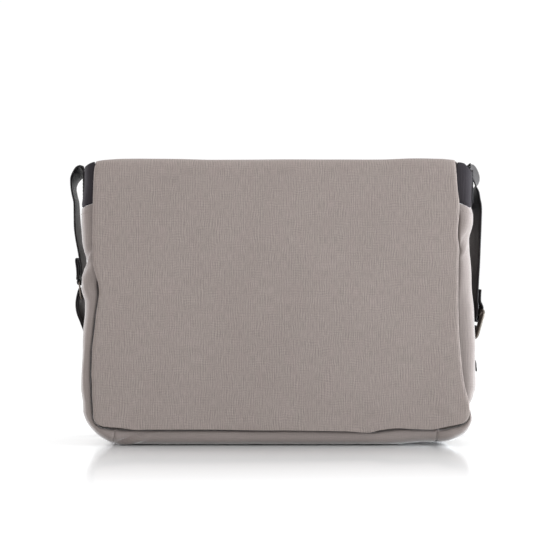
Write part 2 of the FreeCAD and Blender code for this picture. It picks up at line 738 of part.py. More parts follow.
# sewn return below the ring
sk = new_sketch(body, "SewnEnd", "YZ_Plane", inner1)
draw(sk, *fall_wire(d.ring_low + bite, bend_right, share=d.sewn_share))
pad(body, sk, wt)

# metal adjuster on the left: three bars between two side rails; the lower
# bar stands outside both layers of webbing
bh_, sh, rw = d.bar_half, d.slot_half, d.rail_wide
body = new_body("strap_adjuster", (Size.of(0.0), lh, sl))
sk = new_sketch(body, "Frame", "YZ_Plane", -(eye_at + bh_))
draw(sk, *box_wire(-(sh + rw), sh + rw, -(d.slider_mid + bh_), -(d.slider_top - bh_)))
draw(sk, *box_wire(-sh, sh, -(d.slider_mid - bh_), -(d.slider_top + bh_)))
pad(body, sk, 2 * bh_)
low_in = outer1 + 0.4
for w0, w1, tag in ((-(sh + rw), -sh, "RailFront"), (sh, sh + rw, "RailBack")):
    sk = new_sketch(body, tag, "YZ_Plane", -(low_in + 2 * bh_))
    draw(sk, *box_wire(w0, w1, -(d.slider_low + bh_), -(d.slider_mid - bh_)))
    pad(body, sk, low_in + 3 * bh_ - eye_at)
sk = new_sketch(body, "LowerBar", "YZ_Plane", -(low_in + 2 * bh_))
draw(sk, *box_wire(-(sh + 0.5), sh + 0.5, -(d.slider_low + bh_), -(d.slider_low - bh_)))
pad(body, sk, 2 * bh_)

# rectangular ring on the right
body = new_body("strap_ring", (Size.of(0.0), lh, sl))
sk = new_sketch(body, "Frame", "YZ_Plane", eye_at - bh_)
draw(sk, *box_wire(-(sh + rw), sh + rw, -(d.ring_low + bh_), -(d.ring_top - bh_)))
draw(sk, *box_wire(-sh, sh, -(d.ring_low - bh_), -(d.ring_top + bh_)))
frame = pad(body, sk, 2 * bh_)
doc.recompute()
fillet(body, frame, edges_where(
    frame.Shape, lambda e: abs(e.Vertexes[0].X - e.Vertexes[-1].X) > 1
    and abs(abs(e.Vertexes[0].Y) - (sh + rw).value) < 1e-3), 3.0)

# ------------------------------------------------------------------ output
doc.recompute()
bad = []
for obj in doc.Objects:
    if any(w in ("Invalid", "Error") for w in obj.State):
        bad.append("%s: %s" % (obj.Label, obj.State))
for obj in NODES:
    s = obj.Shape
    if s.isNull() or not s.isValid() or len(s.Solids) != 1 or s.Volume <= 0:
        bad.append("%s: null %s, valid %s, solids %d" % (
            obj.Label, s.isNull(), (not s.isNull()) and s.isValid(),
            0 if s.isNull() else len(s.Solids)))
if bad:
    raise RuntimeError("not sound: " + "; ".join(bad))

os.makedirs("parts", exist_ok=True)
for obj in NODES:
    obj.Shape.exportStep("parts/%s.step" % obj.Label)
    bb = obj.Shape.BoundBox
    print("%-20s vol %9.1f  x %7.1f %7.1f  y %7.1f %7.1f  z %7.1f %7.1f" % (
        obj.Label, obj.Shape.Volume, bb.XMin, bb.XMax, bb.YMin, bb.YMax, bb.ZMin, bb.ZMax))
print(len(NODES), "sub-parts")
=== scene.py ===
import math

import bmesh
import bpy
import numpy as np
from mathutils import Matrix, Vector


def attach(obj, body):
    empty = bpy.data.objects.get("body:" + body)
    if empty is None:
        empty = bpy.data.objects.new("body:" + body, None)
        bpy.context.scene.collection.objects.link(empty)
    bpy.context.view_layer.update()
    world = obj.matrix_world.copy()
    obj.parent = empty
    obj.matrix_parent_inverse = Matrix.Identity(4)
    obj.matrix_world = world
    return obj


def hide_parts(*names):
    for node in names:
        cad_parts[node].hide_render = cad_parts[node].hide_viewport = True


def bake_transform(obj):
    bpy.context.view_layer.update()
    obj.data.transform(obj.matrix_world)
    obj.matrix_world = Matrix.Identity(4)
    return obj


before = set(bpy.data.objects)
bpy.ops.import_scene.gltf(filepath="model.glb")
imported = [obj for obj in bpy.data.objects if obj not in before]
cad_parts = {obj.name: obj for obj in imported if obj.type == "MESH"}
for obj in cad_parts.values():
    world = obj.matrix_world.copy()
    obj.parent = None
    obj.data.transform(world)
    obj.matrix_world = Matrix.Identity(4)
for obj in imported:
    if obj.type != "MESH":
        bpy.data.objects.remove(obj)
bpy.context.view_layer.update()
M = 0.001          # everything below is worked out in millimetres


# ------------------------------------------------------------------ helpers
def smooth(x):
    x = np.clip(x, 0.0, 1.0)
    return x * x * (3 - 2 * x)


def bump(x):
    x = np.clip(np.abs(x), 0.0, 1.0)
    return (1 - x * x) ** 2


class Curve:
    """Monotone cubic through the given points, flat beyond its ends."""

    def __init__(self, pts):
        pts = sorted(pts)
        self.x = np.array([p[0] for p in pts], float)
        self.y = np.array([p[1] for p in pts], float)
        h = np.diff(self.x)
        s = np.diff(self.y) / h
        m = np.zeros(len(pts))
        for i in range(1, len(pts) - 1):
            if s[i - 1] * s[i] > 0:
                w1, w2 = 2 * h[i] + h[i - 1], h[i] + 2 * h[i - 1]
                m[i] = (w1 + w2) / (w1 / s[i - 1] + w2 / s[i])
        m[0], m[-1] = s[0], s[-1]
        self.m = m

    def __call__(self, v):
        v = np.clip(np.asarray(v, float), self.x[0], self.x[-1])
        i = np.clip(np.searchsorted(self.x, v, side="right") - 1, 0, len(self.x) - 2)
        h = self.x[i + 1] - self.x[i]
        t = (v - self.x[i]) / h
        return ((2 * t**3 - 3 * t**2 + 1) * self.y[i] + (t**3 - 2 * t**2 + t) * h * self.m[i]
                + (-2 * t**3 + 3 * t**2) * self.y[i + 1] + (t**3 - t**2) * h * self.m[i + 1])


def field(x, y, size, seed):
    """Smooth uneven field, about -1 to 1, with features of about that size."""
    rng = np.random.default_rng(seed)
    out = 0.0
    for _ in range(7):
        a = rng.uniform(0, 2 * math.pi)
        k = 2 * math.pi / (size * rng.uniform(1.3, 3.0))
        out = out + np.sin(k * (x * math.cos(a) + y * math.sin(a)) + rng.uniform(0, 6.28))
    return out / 3.2


def unit(v):
    n = np.linalg.norm(v, axis=-1, keepdims=True)
    return v / np.maximum(n, 1e-9)


def spline(points, step):
    """Points evenly spaced along a smooth curve through the rows of points;
    columns beyond the third are carried along."""
    p = np.array(points, float)
    p = np.vstack([2 * p[0] - p[1], p, 2 * p[-1] - p[-2]])
    rows = []
    for i in range(1, len(p) - 2):
        p0, p1, p2, p3 = p[i - 1], p[i], p[i + 1], p[i + 2]
        d = [max(np.linalg.norm((b - a)[:3]), 1e-6) ** 0.5 for a, b in ((p0, p1), (p1, p2), (p2, p3))]
        t0, t1 = 0.0, d[0]
        t2 = t1 + d[1]
        t3 = t2 + d[2]
        for t in np.linspace(t1, t2, 24, endpoint=False):
            a1 = (t1 - t) / (t1 - t0) * p0 + (t - t0) / (t1 - t0) * p1
            a2 = (t2 - t) / (t2 - t1) * p1 + (t - t1) / (t2 - t1) * p2
            a3 = (t3 - t) / (t3 - t2) * p2 + (t - t2) / (t3 - t2) * p3
            b1 = (t2 - t) / (t2 - t0) * a1 + (t - t0) / (t2 - t0) * a2
            b2 = (t3 - t) / (t3 - t1) * a2 + (t - t1) / (t3 - t1) * a3
            rows.append((t2 - t) / (t2 - t1) * b1 + (t - t1) / (t2 - t1) * b2)
    rows.append(p[-2])
    rows = np.array(rows)
    run = np.concatenate([[0], np.cumsum(np.linalg.norm(np.diff(rows[:, :3], axis=0), axis=1))])
    at = np.linspace(0, run[-1], max(3, int(round(run[-1] / step)) + 1))
    return np.stack([np.interp(at, run, rows[:, k]) for k in range(rows.shape[1])], 1), at


def make(name, verts, faces, cloth=None, mats=(), fmat=None, flat=False, sharp=()):
    me = bpy.data.meshes.new(name)
    me.from_pydata([tuple(p) for p in np.asarray(verts, float) * M], [], [tuple(int(i) for i in f) for f in faces])
    if cloth is not None:
        a = me.attributes.new("cloth", "FLOAT_VECTOR", "POINT")
        a.data.foreach_set("vector", (np.asarray(cloth, float) * M).astype(np.float32).ravel())
    for m in mats:
        me.materials.append(m)
    if fmat is not None:
        me.polygons.foreach_set("material_index", np.asarray(fmat, np.int32))
    me.polygons.foreach_set("use_smooth", np.full(len(me.polygons), not flat))
    bm = bmesh.new()
    bm.from_mesh(me)
    bmesh.ops.recalc_face_normals(bm, faces=bm.faces)
    bm.verts.ensure_lookup_table()
    for a, b in sharp:
        e = bm.edges.get((bm.verts[int(a)], bm.verts[int(b)]))
        if e is not None:
            e.smooth = False
    bm.to_mesh(me)
    bm.free()
    ob = bpy.data.objects.new(name, me)
    bpy.context.scene.collection.objects.link(ob)
    return ob


def normals(P, closed=False):
    if closed:
        du = np.roll(P, -1, axis=0) - np.roll(P, 1, axis=0)
    else:
        du = np.gradient(P, axis=0)
    dv = np.gradient(P, axis=1)
    return du, dv, unit(np.cross(du, dv))


def shell(name, P, uv, t, mats, rim=(1, 1, 1, 1), closed=False, front=None, back=None, edge=0):
    """Closed sheet of thickness t about the grid of points P (columns run
    along v).  rim says which of its four edges (u0, u1, v0, v1) are rounded;
    front and back give each grid cell a material."""
    m, n, _ = P.shape
    du, dv, N = normals(P, closed)
    t = np.broadcast_to(np.asarray(t, float), (m, n))[..., None]
    A, B = P + N * t / 2, P - N * t / 2
    V = [A.reshape(-1, 3), B.reshape(-1, 3)]
    w = np.concatenate([uv, np.zeros((m, n, 1))], -1).reshape(-1, 3)
    W = [w, w + [0, 0, 3.0]]
    ix = np.arange(m * n).reshape(m, n)
    F, K = [], []
    mi = m if closed else m - 1
    for i in range(mi):
        i2 = (i + 1) % m
        for j in range(n - 1):
            F.append((ix[i, j], ix[i2, j], ix[i2, j + 1], ix[i, j + 1]))
            K.append(0 if front is None else front[i][j])
            F.append(tuple(m * n + q for q in (ix[i, j], ix[i, j + 1], ix[i2, j + 1], ix[i2, j])))
            K.append(0 if back is None else back[i][j])
    if closed:
        loops = [[(i, 0) for i in range(m)], [(i, n - 1) for i in range(m)]]
    else:
        loops = [[(i, 0) for i in range(m)] + [(m - 1, j) for j in range(1, n)]
                 + [(i, n - 1) for i in range(m - 2, -1, -1)] + [(0, j) for j in range(n - 2, 0, -1)]]
    base = 2 * m * n
    R, RW = [], []
    for loop in loops:
        first = base + len(R)
        for i, j in loop:
            out = np.zeros(3)
            if not closed and i == 0 and rim[0]:
                out -= unit(du[i, j])
            if not closed and i == m - 1 and rim[1]:
                out += unit(du[i, j])
            if j == 0 and rim[2]:
                out -= unit(dv[i, j])
            if j == n - 1 and rim[3]:
                out += unit(dv[i, j])
            if np.linalg.norm(out) > 0:
                out = unit(out)
            R.append(P[i, j] + out * t[i, j, 0] * 0.45)
            RW.append([uv[i, j, 0], uv[i, j, 1], 1.5])
        k = len(loop)
        for q in range(k):
            a, b = loop[q], loop[(q + 1) % k]
            ra, rb = first + q, first + (q + 1) % k
            F.append((ix[a], ix[b], rb, ra))
            F.append((ra, rb, m * n + ix[b], m * n + ix[a]))
            K += [edge, edge]
    V.append(np.array(R))
    W.append(np.array(RW))
    sharp = []
    if not closed:
        for flat_end, line in ((not rim[0], ix[0, :]), (not rim[1], ix[-1, :]), (not rim[2], ix[:, 0]), (not rim[3], ix[:, -1])):
            if flat_end:
                for a, b in zip(line[:-1], line[1:]):
                    sharp += [(a, b), (a + m * n, b + m * n)]
    return make(name, np.vstack(V), F, np.vstack(W), mats, K, sharp=sharp)


def ribbon(name, rows, ref, width, t, mats, step=2.0, across=8, wander=None):
    """Flat webbing along rows of (x, y, z, turn).  ref(turn) is the direction
    of its front edge before it is squared to the line."""
    rows = [tuple(r) + (0.0,) * (5 - len(r)) for r in rows]
    c, run = spline(rows, step)
    T = unit(np.gradient(c[:, :3], axis=0))
    W0 = np.array([ref(a, b) for a, b in c[:, 3:5]])
    W = unit(W0 - np.sum(W0 * T, 1, keepdims=True) * T)
    k = np.linspace(-0.5, 0.5, across + 1) * width
    P = c[:, None, :3] + W[:, None, :] * k[None, :, None]
    if wander is not None:
        N = np.cross(T, W)
        P = P + N[:, None, :] * wander(run[:, None], k[None, :])[..., None]
    uv = np.stack(np.broadcast_arrays(k[None, :] + 0 * run[:, None], run[:, None] + 0 * k[None, :]), -1)
    return shell(name, P, uv, t, mats), P, W


def stitches(name, lines, mat, length=2.7, gap=1.0, r=0.32, lift=0.12, sink=0.35):
    """Sewn stitches along lines of (points, outward directions)."""
    V, F = [], []
    for pts, nrm in lines:
        pts, nrm = np.asarray(pts, float), unit(np.asarray(nrm, float))
        run = np.concatenate([[0], np.cumsum(np.linalg.norm(np.diff(pts, axis=0), axis=1))])
        count = int((run[-1] - gap) / (length + gap))
        if count < 1:
            continue
        pitch = run[-1] / count
        for q in range(count):
            s = (q + 0.5) * pitch + np.array([-0.54, -0.5, -0.28, 0.28, 0.5, 0.54]) * length
            P = np.stack([np.interp(s, run, pts[:, k]) for k in range(3)], 1)
            N = unit(np.stack([np.interp(s, run, nrm[:, k]) for k in range(3)], 1))
            T = unit(np.gradient(P, axis=0))
            S = unit(np.cross(T, N))
            P = P + N * (np.array([-sink, -sink * 0.7, lift, lift, -sink * 0.7, -sink]))[:, None]
            rad = np.array([0.15, 0.6, 1, 1, 0.6, 0.15]) * r
            at = len(V)
            for j in range(6):
                for a in range(6):
                    u = a * math.pi / 3
                    V.append(P[j] + rad[j] * (math.cos(u) * S[j] + math.sin(u) * N[j]))
            for j in range(5):
                for a in range(6):
                    b = (a + 1) % 6
                    F.append((at + 6 * j + a, at + 6 * j + b, at + 6 * j + 6 + b, at + 6 * j + 6 + a))
            F.append(tuple(at + a for a in range(5, -1, -1)))
            F.append(tuple(at + 30 + a for a in range(6)))
    V = np.array(V)
    return make(name, V, F, V, [mat])


def tube(line, sect, closed=False):
    """Vertices and faces of a bar of the given section (k, 2) along a line
    with frames: rows of (point, side, up)."""
    V, F = [], []
    k = len(sect)
    for p, s, u in line:
        for a, b in sect:
            V.append(p + s * a + u * b)
    n = len(line)
    for i in range(n if closed else n - 1):
        for a in range(k):
            b = (a + 1) % k
            i2 = (i + 1) % n
            F.append((i * k + a, i * k + b, i2 * k + b, i2 * k + a))
    if not closed:
        F.append(tuple(range(k - 1, -1, -1)))
        F.append(tuple((n - 1) * k + a for a in range(k)))
    return V, F


def rounded(hw, hh, r, per=3):
    out = []
    for cx, cy, a0 in ((hw - r, hh - r, 0), (r - hw, hh - r, 90), (r - hw, r - hh, 180), (hw - r, r - hh, 270)):
        for q in range(per + 1):
            a = math.radians(a0 + 90 * q / per)
            out.append((cx + r * math.cos(a), cy + r * math.sin(a)))
    return out


# ---------------------------------------------------------------- materials
class Net:
    def __init__(self, name):
        self.mat = bpy.data.materials.new(name)
        self.mat.use_nodes = True
        self.t = self.mat.node_tree
        self.bsdf = self.t.nodes["Principled BSDF"]

    def put(self, sock, v):
        if hasattr(v, "is_output"):
            self.t.links.new(v, sock)
        else:
            sock.default_value = v

    def node(self, kind, ins=(), out=0, **props):
        n = self.t.nodes.new(kind)
        for k, v in props.items():
            setattr(n, k, v)
        for k, v in dict(ins).items():
            self.put(n.inputs[k], v)
        return n.outputs[out]

    def math(self, op, a, b=0.0, clamp=False):
        return self.node("ShaderNodeMath", {0: a, 1: b}, operation=op, use_clamp=clamp)

    def cloth(self):
        v = self.node("ShaderNodeAttribute", attribute_name="cloth", out=1)
        s = self.t.nodes.new("ShaderNodeSeparateXYZ")
        self.put(s.inputs[0], v)
        return s.outputs[0], s.outputs[1], s.outputs[2]

    def place(self):
        s = self.t.nodes.new("ShaderNodeSeparateXYZ")
        self.put(s.inputs[0], self.node("ShaderNodeTexCoord", out=3))
        return s.outputs[0], s.outputs[1], s.outputs[2]

    def vec(self, x, y, z=0.0):
        return self.node("ShaderNodeCombineXYZ", {0: x, 1: y, 2: z})

    def noise(self, v, scale=1.0, detail=2.0, rough=0.5):
        return self.node("ShaderNodeTexNoise", {"Vector": v, "Scale": scale, "Detail": detail, "Roughness": rough})

    def mix(self, fac, a, b):
        n = self.t.nodes.new("ShaderNodeMix")
        n.data_type = "RGBA"
        self.put(n.inputs[0], fac)
        for sock, v in ((n.inputs[6], a), (n.inputs[7], b)):
            if not hasattr(v, "is_output"):
                v = (*v, 1.0)
            self.put(sock, v)
        return n.outputs[2]

    def spread(self, v, lo, hi):
        return self.node("ShaderNodeMapRange", {0: v, 1: lo, 2: hi, 3: 0.0, 4: 1.0})

    def bump(self, h, strength, distance):
        n = self.node("ShaderNodeBump", {"Height": h, "Strength": strength, "Distance": distance})
        self.put(self.bsdf.inputs["Normal"], n)
        self.put(self.bsdf.inputs["Coat Normal"], n)

    def end(self, colour, rough, **fixed):
        self.put(self.bsdf.inputs["Base Color"], colour if hasattr(colour, "is_output") else (*colour, 1.0))
        self.put(self.bsdf.inputs["Roughness"], rough)
        for k, v in fixed.items():
            self.bsdf.inputs[k.replace("_", " ")].default_value = v
        return self.mat


def weave_cloth(name, base, pitch, contrast, slub=1.0, tint=0.5, depth=0.00025, rough=0.9, sheen=0.12, strength=0.35):
    """Woven cloth: plain weave relief, uneven yarns both ways, soft mottling."""
    n = Net(name)
    u, v, w = n.cloth()
    k = math.pi / pitch
    su = n.math("SINE", n.math("MULTIPLY", u, k))
    sv = n.math("SINE", n.math("MULTIPLY", v, k))
    weave = n.math("ADD", n.math("MULTIPLY", n.math("MULTIPLY", su, sv), 0.5), 0.5)
    drift = n.noise(n.vec(n.math("MULTIPLY", u, 60.0), n.math("MULTIPLY", v, 38.0), w), 1.0, 2.0, 0.5)
    group_a = n.spread(n.noise(n.vec(n.math("MULTIPLY", u, 120.0), n.math("MULTIPLY", v, 75.0), 4.0), 1.0, 1.0, 0.5), 0.30, 0.75)
    group_b = n.spread(n.noise(n.vec(n.math("MULTIPLY", u, 70.0), n.math("MULTIPLY", v, 120.0), 8.0), 1.0, 1.0, 0.5), 0.40, 0.80)
    turn_a = n.math("ADD", n.math("MULTIPLY", u, 2 * math.pi / 0.0025), n.math("MULTIPLY", drift, 16.0))
    turn_b = n.math("ADD", n.math("MULTIPLY", v, 2 * math.pi / 0.0027), n.math("MULTIPLY", drift, 14.0))
    warp = n.math("ADD", n.math("MULTIPLY", n.math("MULTIPLY", n.math("SINE", turn_a), group_a), 0.5), 0.5)
    weft = n.math("ADD", n.math("MULTIPLY", n.math("MULTIPLY", n.math("SINE", turn_b), group_b), 0.5), 0.5)
    slubs = n.noise(n.vec(n.math("MULTIPLY", u, 900.0), n.math("MULTIPLY", v, 110.0), 2.0), 1.0, 1.0, 0.5)
    fine = n.noise(n.vec(n.math("MULTIPLY", u, 1300.0), n.math("MULTIPLY", v, 900.0), 7.0), 1.0, 1.0, 0.5)
    cloud = n.noise(n.vec(n.math("MULTIPLY", u, 14.0), n.math("MULTIPLY", v, 14.0), 9.0), 1.0, 2.0, 0.5)
    hue = n.noise(n.vec(n.math("MULTIPLY", u, 85.0), n.math("MULTIPLY", v, 30.0), 12.0), 1.0, 2.0, 0.55)
    a = n.math("MULTIPLY", n.math("SUBTRACT", warp, 0.5), 0.75 * slub)
    b = n.math("MULTIPLY", n.math("SUBTRACT", weft, 0.5), 0.42 * slub)
    c = n.math("ADD", n.math("MULTIPLY", n.math("SUBTRACT", fine, 0.5), 0.8 * slub), n.math("MULTIPLY", n.math("SUBTRACT", slubs, 0.5), 0.9 * slub))
    d = n.math("MULTIPLY", n.math("SUBTRACT", cloud, 0.5), 0.16)
    e = n.math("MULTIPLY", n.math("SUBTRACT", weave, 0.5), 0.3)
    f = n.math("ADD", n.math("ADD", n.math("ADD", a, b), n.math("ADD", c, d)), e)
    f = n.math("ADD", f, 0.5, clamp=True)
    dark = tuple(x * (1 - contrast) for x in base)
    light = tuple(x * (1 + contrast) for x in base)
    col = n.mix(f, dark, light)
    # the tone shifts the hue a little without changing the yarns
    m = n.t.nodes.new("ShaderNodeMix")
    m.data_type = "RGBA"
    m.blend_type = "MULTIPLY"
    m.inputs[0].default_value = 1.0
    ratio = n.mix(n.spread(hue, 0.3, 0.7), (1 - 0.007 * tint, 1 + 0.002 * tint, 1 - 0.004 * tint),
                  (1 + 0.005 * tint, 1 - 0.005 * tint, 1 + 0.001 * tint))
    n.put(m.inputs[6], col)
    n.put(m.inputs[7], ratio)
    h = n.math("ADD", n.math("MULTIPLY", weave, 0.6), n.math("ADD", n.math("MULTIPLY", warp, 0.35), n.math("MULTIPLY", weft, 0.25)))
    n.bump(h, strength, depth)
    r = n.math("ADD", n.math("MULTIPLY", fine, 0.12), rough - 0.06, clamp=True)
    return n.end(m.outputs[2], r, Sheen_Weight=sheen, Sheen_Roughness=0.35, Specular_IOR_Level=0.25)


def webbing(name, base, rib=2.1, contrast=0.35, rough=0.62, sheen=0.1, strength=0.6, spec=0.4, gloss=0.0):
    """Narrow woven band: ribs along its length crossed by a fine herringbone."""
    n = Net(name)
    u, v, w = n.cloth()
    k = 2 * math.pi / (rib * M)
    ribs = n.math("ADD", n.math("MULTIPLY", n.math("SINE", n.math("MULTIPLY", u, k)), 0.5), 0.5)
    slant = n.math("ADD", v, n.math("MULTIPLY", n.math("PINGPONG", u, rib * M / 2), 0.9))
    bone = n.math("ADD", n.math("MULTIPLY", n.math("SINE", n.math("MULTIPLY", slant, 2 * math.pi / 0.0012)), 0.5), 0.5)
    yarn = n.noise(n.vec(n.math("MULTIPLY", u, 900.0), n.math("MULTIPLY", v, 60.0), w), 1.0, 3.0, 0.6)
    wear = n.noise(n.vec(n.math("MULTIPLY", u, 60.0), n.math("MULTIPLY", v, 45.0), 5.0), 1.0, 2.0, 0.5)
    f = n.math("ADD", n.math("MULTIPLY", ribs, 0.3), n.math("MULTIPLY", bone, 0.25))
    f = n.math("ADD", f, n.math("MULTIPLY", n.math("SUBTRACT", yarn, 0.3), 0.8))
    f = n.math("ADD", f, n.math("MULTIPLY", n.math("SUBTRACT", wear, 0.5), 0.5), clamp=True)
    col = n.mix(f, tuple(x * (1 - contrast) for x in base), tuple(x * (1 + contrast) for x in base))
    h = n.math("ADD", n.math("MULTIPLY", ribs, 0.6), n.math("MULTIPLY", bone, 0.4))
    n.bump(h, strength, 0.00035)
    r = n.math("ADD", n.math("MULTIPLY", yarn, 0.2), rough - 0.1, clamp=True)
    return n.end(col, r, Sheen_Weight=sheen, Sheen_Roughness=0.4, Specular_IOR_Level=spec, Coat_Weight=gloss, Coat_Roughness=0.20)


def thread(name, base):
    n = Net(name)
    u, v, w = n.cloth()
    ply = n.math("SINE", n.math("MULTIPLY", n.math("ADD", n.math("ADD", u, v), w), 2 * math.pi / 0.0006))
    f = n.math("ADD", n.math("MULTIPLY", ply, 0.3), 0.5)
    col = n.mix(f, tuple(x * 0.75 for x in base), tuple(x * 1.2 for x in base))
    n.bump(ply, 0.4, 0.0001)
    return n.end(col, n.math("ADD", n.math("MULTIPLY", f, 0.1), 0.6), Sheen_Weight=0.1)


def metal(name, base, rough, brushed=True):
    n = Net(name)
    x, y, z = n.place()
    grain = n.noise(n.vec(n.math("MULTIPLY", x, 300.0), n.math("MULTIPLY", y, 300.0), n.math("MULTIPLY", z, 5200.0)), 1.0, 2.0, 0.5)
    spots = n.noise(n.vec(n.math("MULTIPLY", x, 240.0), n.math("MULTIPLY", y, 240.0), n.math("MULTIPLY", z, 240.0)), 1.0, 4.0, 0.6)
    f = n.math("ADD", n.math("MULTIPLY", grain, 0.5), n.math("MULTIPLY", spots, 0.5), clamp=True)
    col = n.mix(n.spread(f, 0.3, 0.7), tuple(q * 0.82 for q in base), tuple(min(1, q * 1.15) for q in base))
    r = n.math("ADD", n.math("MULTIPLY", spots, 0.22), rough - 0.08, clamp=True)
    n.bump(f, 0.12, 0.0001)
    return n.end(col, r, Metallic=1.0)


def plastic(name, base, rough):
    n = Net(name)
    x, y, z = n.place()
    s = n.noise(n.vec(n.math("MULTIPLY", x, 900.0), n.math("MULTIPLY", y, 900.0), n.math("MULTIPLY", z, 900.0)), 1.0, 3.0, 0.6)
    c = n.noise(n.vec(n.math("MULTIPLY", x, 60.0), n.math("MULTIPLY", y, 60.0), n.math("MULTIPLY", z, 60.0)), 1.0, 2.0, 0.5)
    f = n.math("ADD", n.math("MULTIPLY", s, 0.5), n.math("MULTIPLY", c, 0.5))
    col = n.mix(n.spread(f, 0.35, 0.65), tuple(q * 0.85 for q in base), tuple(q * 1.15 for q in base))
    n.bump(s, 0.25, 0.0002)
    return n.end(col, n.math("ADD", n.math("MULTIPLY", s, 0.15), rough - 0.07), Specular_IOR_Level=0.4)


CANVAS = weave_cloth("canvas_taupe", (0.249, 0.211, 0.195), 0.00055, 0.24, 1.0, 1.0)
GUSSET = weave_cloth("canvas_gusset", (0.234, 0.200, 0.187), 0.00055, 0.15, 0.8, 0.7, sheen=0.9)
ENDWEB = webbing("gusset_end_band", (0.0290, 0.0252, 0.0290), 1.7, 0.42, 0.84, 0.03, 0.6, 0.12)
STRAPWEB = webbing("strap_band", (0.0135, 0.0114, 0.0132), 2.2, 0.50, 0.60, 0.02, 0.40, 0.22, 0.34)
LINING = weave_cloth("lining_dark", (0.030, 0.029, 0.031), 0.00032, 0.14, 0.4, 0.3, 0.0001, 0.62, 0.08, 0.2)
TAPE = webbing("zip_tape_band", (0.050, 0.044, 0.040), 0.9, 0.25, 0.7, 0.08, 0.5)
DARK = metal("gunmetal", (0.150, 0.130, 0.113), 0.42)
NICKEL = metal("nickel_satin", (0.50, 0.485, 0.46), 0.30)
COIL = plastic("coil", (0.05, 0.047, 0.045), 0.38)
BOARD = plastic("board_black", (0.035, 0.035, 0.036), 0.55)
THREAD = thread("thread_taupe", (0.25, 0.215, 0.195))
BLACKTHREAD = thread("thread_black", (0.035, 0.032, 0.032))


def finish_piece(ob, slot, *nodes, body="bag"):
    if nodes:
        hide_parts(*nodes)
    if body:
        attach(ob, body)
    return ob


# --------------------------------------------------------- outlines, in mm
# flap outline, seen from the front
flap_left = Curve([(300, -191.6), (290, -192.4), (258, -193.7), (216, -194.2), (195, -194.0), (185, -192.6), (172, -189.2), (164, -187.4), (158, -187.2),
                   (147, -188.6), (134, -190.4), (122, -191.5), (109, -193.1), (97, -194.4), (84, -194.8), (71, -195.4), (59, -194.7), (46, -194.5), (34, -193.6), (14, -193.0)])
flap_right = Curve([(300, 186.2), (290, 186.6), (271, 187.8), (252, 189.8), (240, 189.3), (222, 188.0), (202, 189.8), (193, 188.9),
                    (153, 188.6), (122, 189.2), (96, 190.8), (61, 194.5), (44, 198.3), (32, 200.6), (14, 199.6)])
flap_foot = Curve([(-205, 22.6), (-184, 20.0), (-172, 19.0), (-155, 17.0), (-147, 17.4), (-120, 17.4), (-83, 17.5), (-20, 16.8), (2, 16.9),
                   (40, 16.3), (75, 15.6), (100, 14.2), (112, 16.6), (132, 18.8), (154, 17.8), (169, 17.4), (181, 19.6), (196, 22.4), (205, 24.4)])
FLAP_R = 10.0

# how far the gusset's silhouette stands off the plain box, by height
out_left = Curve([(300, 0.3), (276, 0.3), (262, 1.5), (252, 2.2), (246, 2.2), (235, 2.4), (216, 1.8), (205, -0.4), (197, -2.8), (191, -3.4), (184, -0.6), (176, 2.6),
                  (166, 3.0), (158, 0.8), (151, -1.8), (141, -2.0), (125, -1.0), (101, 0.7), (78, 2.6), (60, 3.0), (48, 1.4), (38, 0.4)])
out_right = Curve([(300, 0.5), (262, 0.5), (252, 0.6), (246, 1.7), (236, 1.0), (228, -0.8), (217, -3.6), (206, -3.4), (194, -2.6), (180, -1.5), (165, -0.4),
                   (143, 2.4), (117, 3.8), (106, 4.2), (64, 4.4), (50, 1.2), (42, -2.2), (38, -2.4)])
corner_left = Curve([(0, 0.9), (12, -1.0), (25, -2.4), (38, -2.2), (50, -1.0), (59.7, -0.3)])
corner_right = Curve([(0, -1.8), (5, -0.4), (12, 1.4), (25, 1.4), (38, -0.4), (50, -2.2), (59.7, -3.2)])
# the slot between the flap's edge and the gusset (below zero: none, the cloth
# comes out from behind the flap), and how full the gusset's belly is
gap_left = Curve([(300, -2.5), (180, -2.0), (171, 0.2), (163, 3.2), (60, 3.4), (38, 3.0)])
gap_right = Curve([(300, -2.8), (246, -2.5), (239, 0.4), (232, 1.5), (215, 1.6), (207, 0.6), (200, -2.0), (60, -2.0), (50, 0.2), (44, 1.8), (38, 2.2)])
full_left = Curve([(300, 0.5), (250, 0.6), (215, 0.75), (200, 0.6), (186, 0.5), (172, 0.75), (160, 1.0), (38, 1.0)])
full_right = Curve([(300, 0.5), (250, 0.65), (238, 0.8), (228, 0.95), (212, 0.9), (202, 0.6), (190, 0.5), (60, 0.6), (46, 0.9), (38, 1.0)])

GUSSET_T = 1.6
LEG, ARC, HALF = 214.0, 38.0 * math.pi / 2, 168.0
TOTAL = 2 * LEG + 2 * ARC + 2 * HALF


def u_path(s):
    """Outer line of the gusset seen from the front, from the top of the left
    side round to the top of the right: place and outward direction."""
    s = np.asarray(s, float)
    x, z, nx, nz = (np.zeros_like(s) for _ in range(4))
    a = s <= LEG
    x[a], z[a], nx[a] = -206, 252 - s[a], -1
    b = (s > LEG) & (s <= LEG + ARC)
    th = (s[b] - LEG) / 38.0
    nx[b], nz[b] = -np.cos(th), -np.sin(th)
    x[b], z[b] = -168 + 38 * nx[b], 38 + 38 * nz[b]
    c = (s > LEG + ARC) & (s <= TOTAL - LEG - ARC)
    x[c], z[c], nz[c] = s[c] - LEG - ARC - HALF, 0, -1
    d = (s > TOTAL - LEG - ARC) & (s <= TOTAL - LEG)
    th = (TOTAL - LEG - s[d]) / 38.0
    nx[d], nz[d] = np.cos(th), -np.sin(th)
    x[d], z[d] = 168 + 38 * nx[d], 38 + 38 * nz[d]
    e = s > TOTAL - LEG
    x[e], z[e], nx[e] = 206, 252 - (TOTAL - s[e]), 1
    return x, z, nx, nz


QUARTER = 15.0 * math.pi / 2
ACROSS = 2 * QUARTER + 74.0


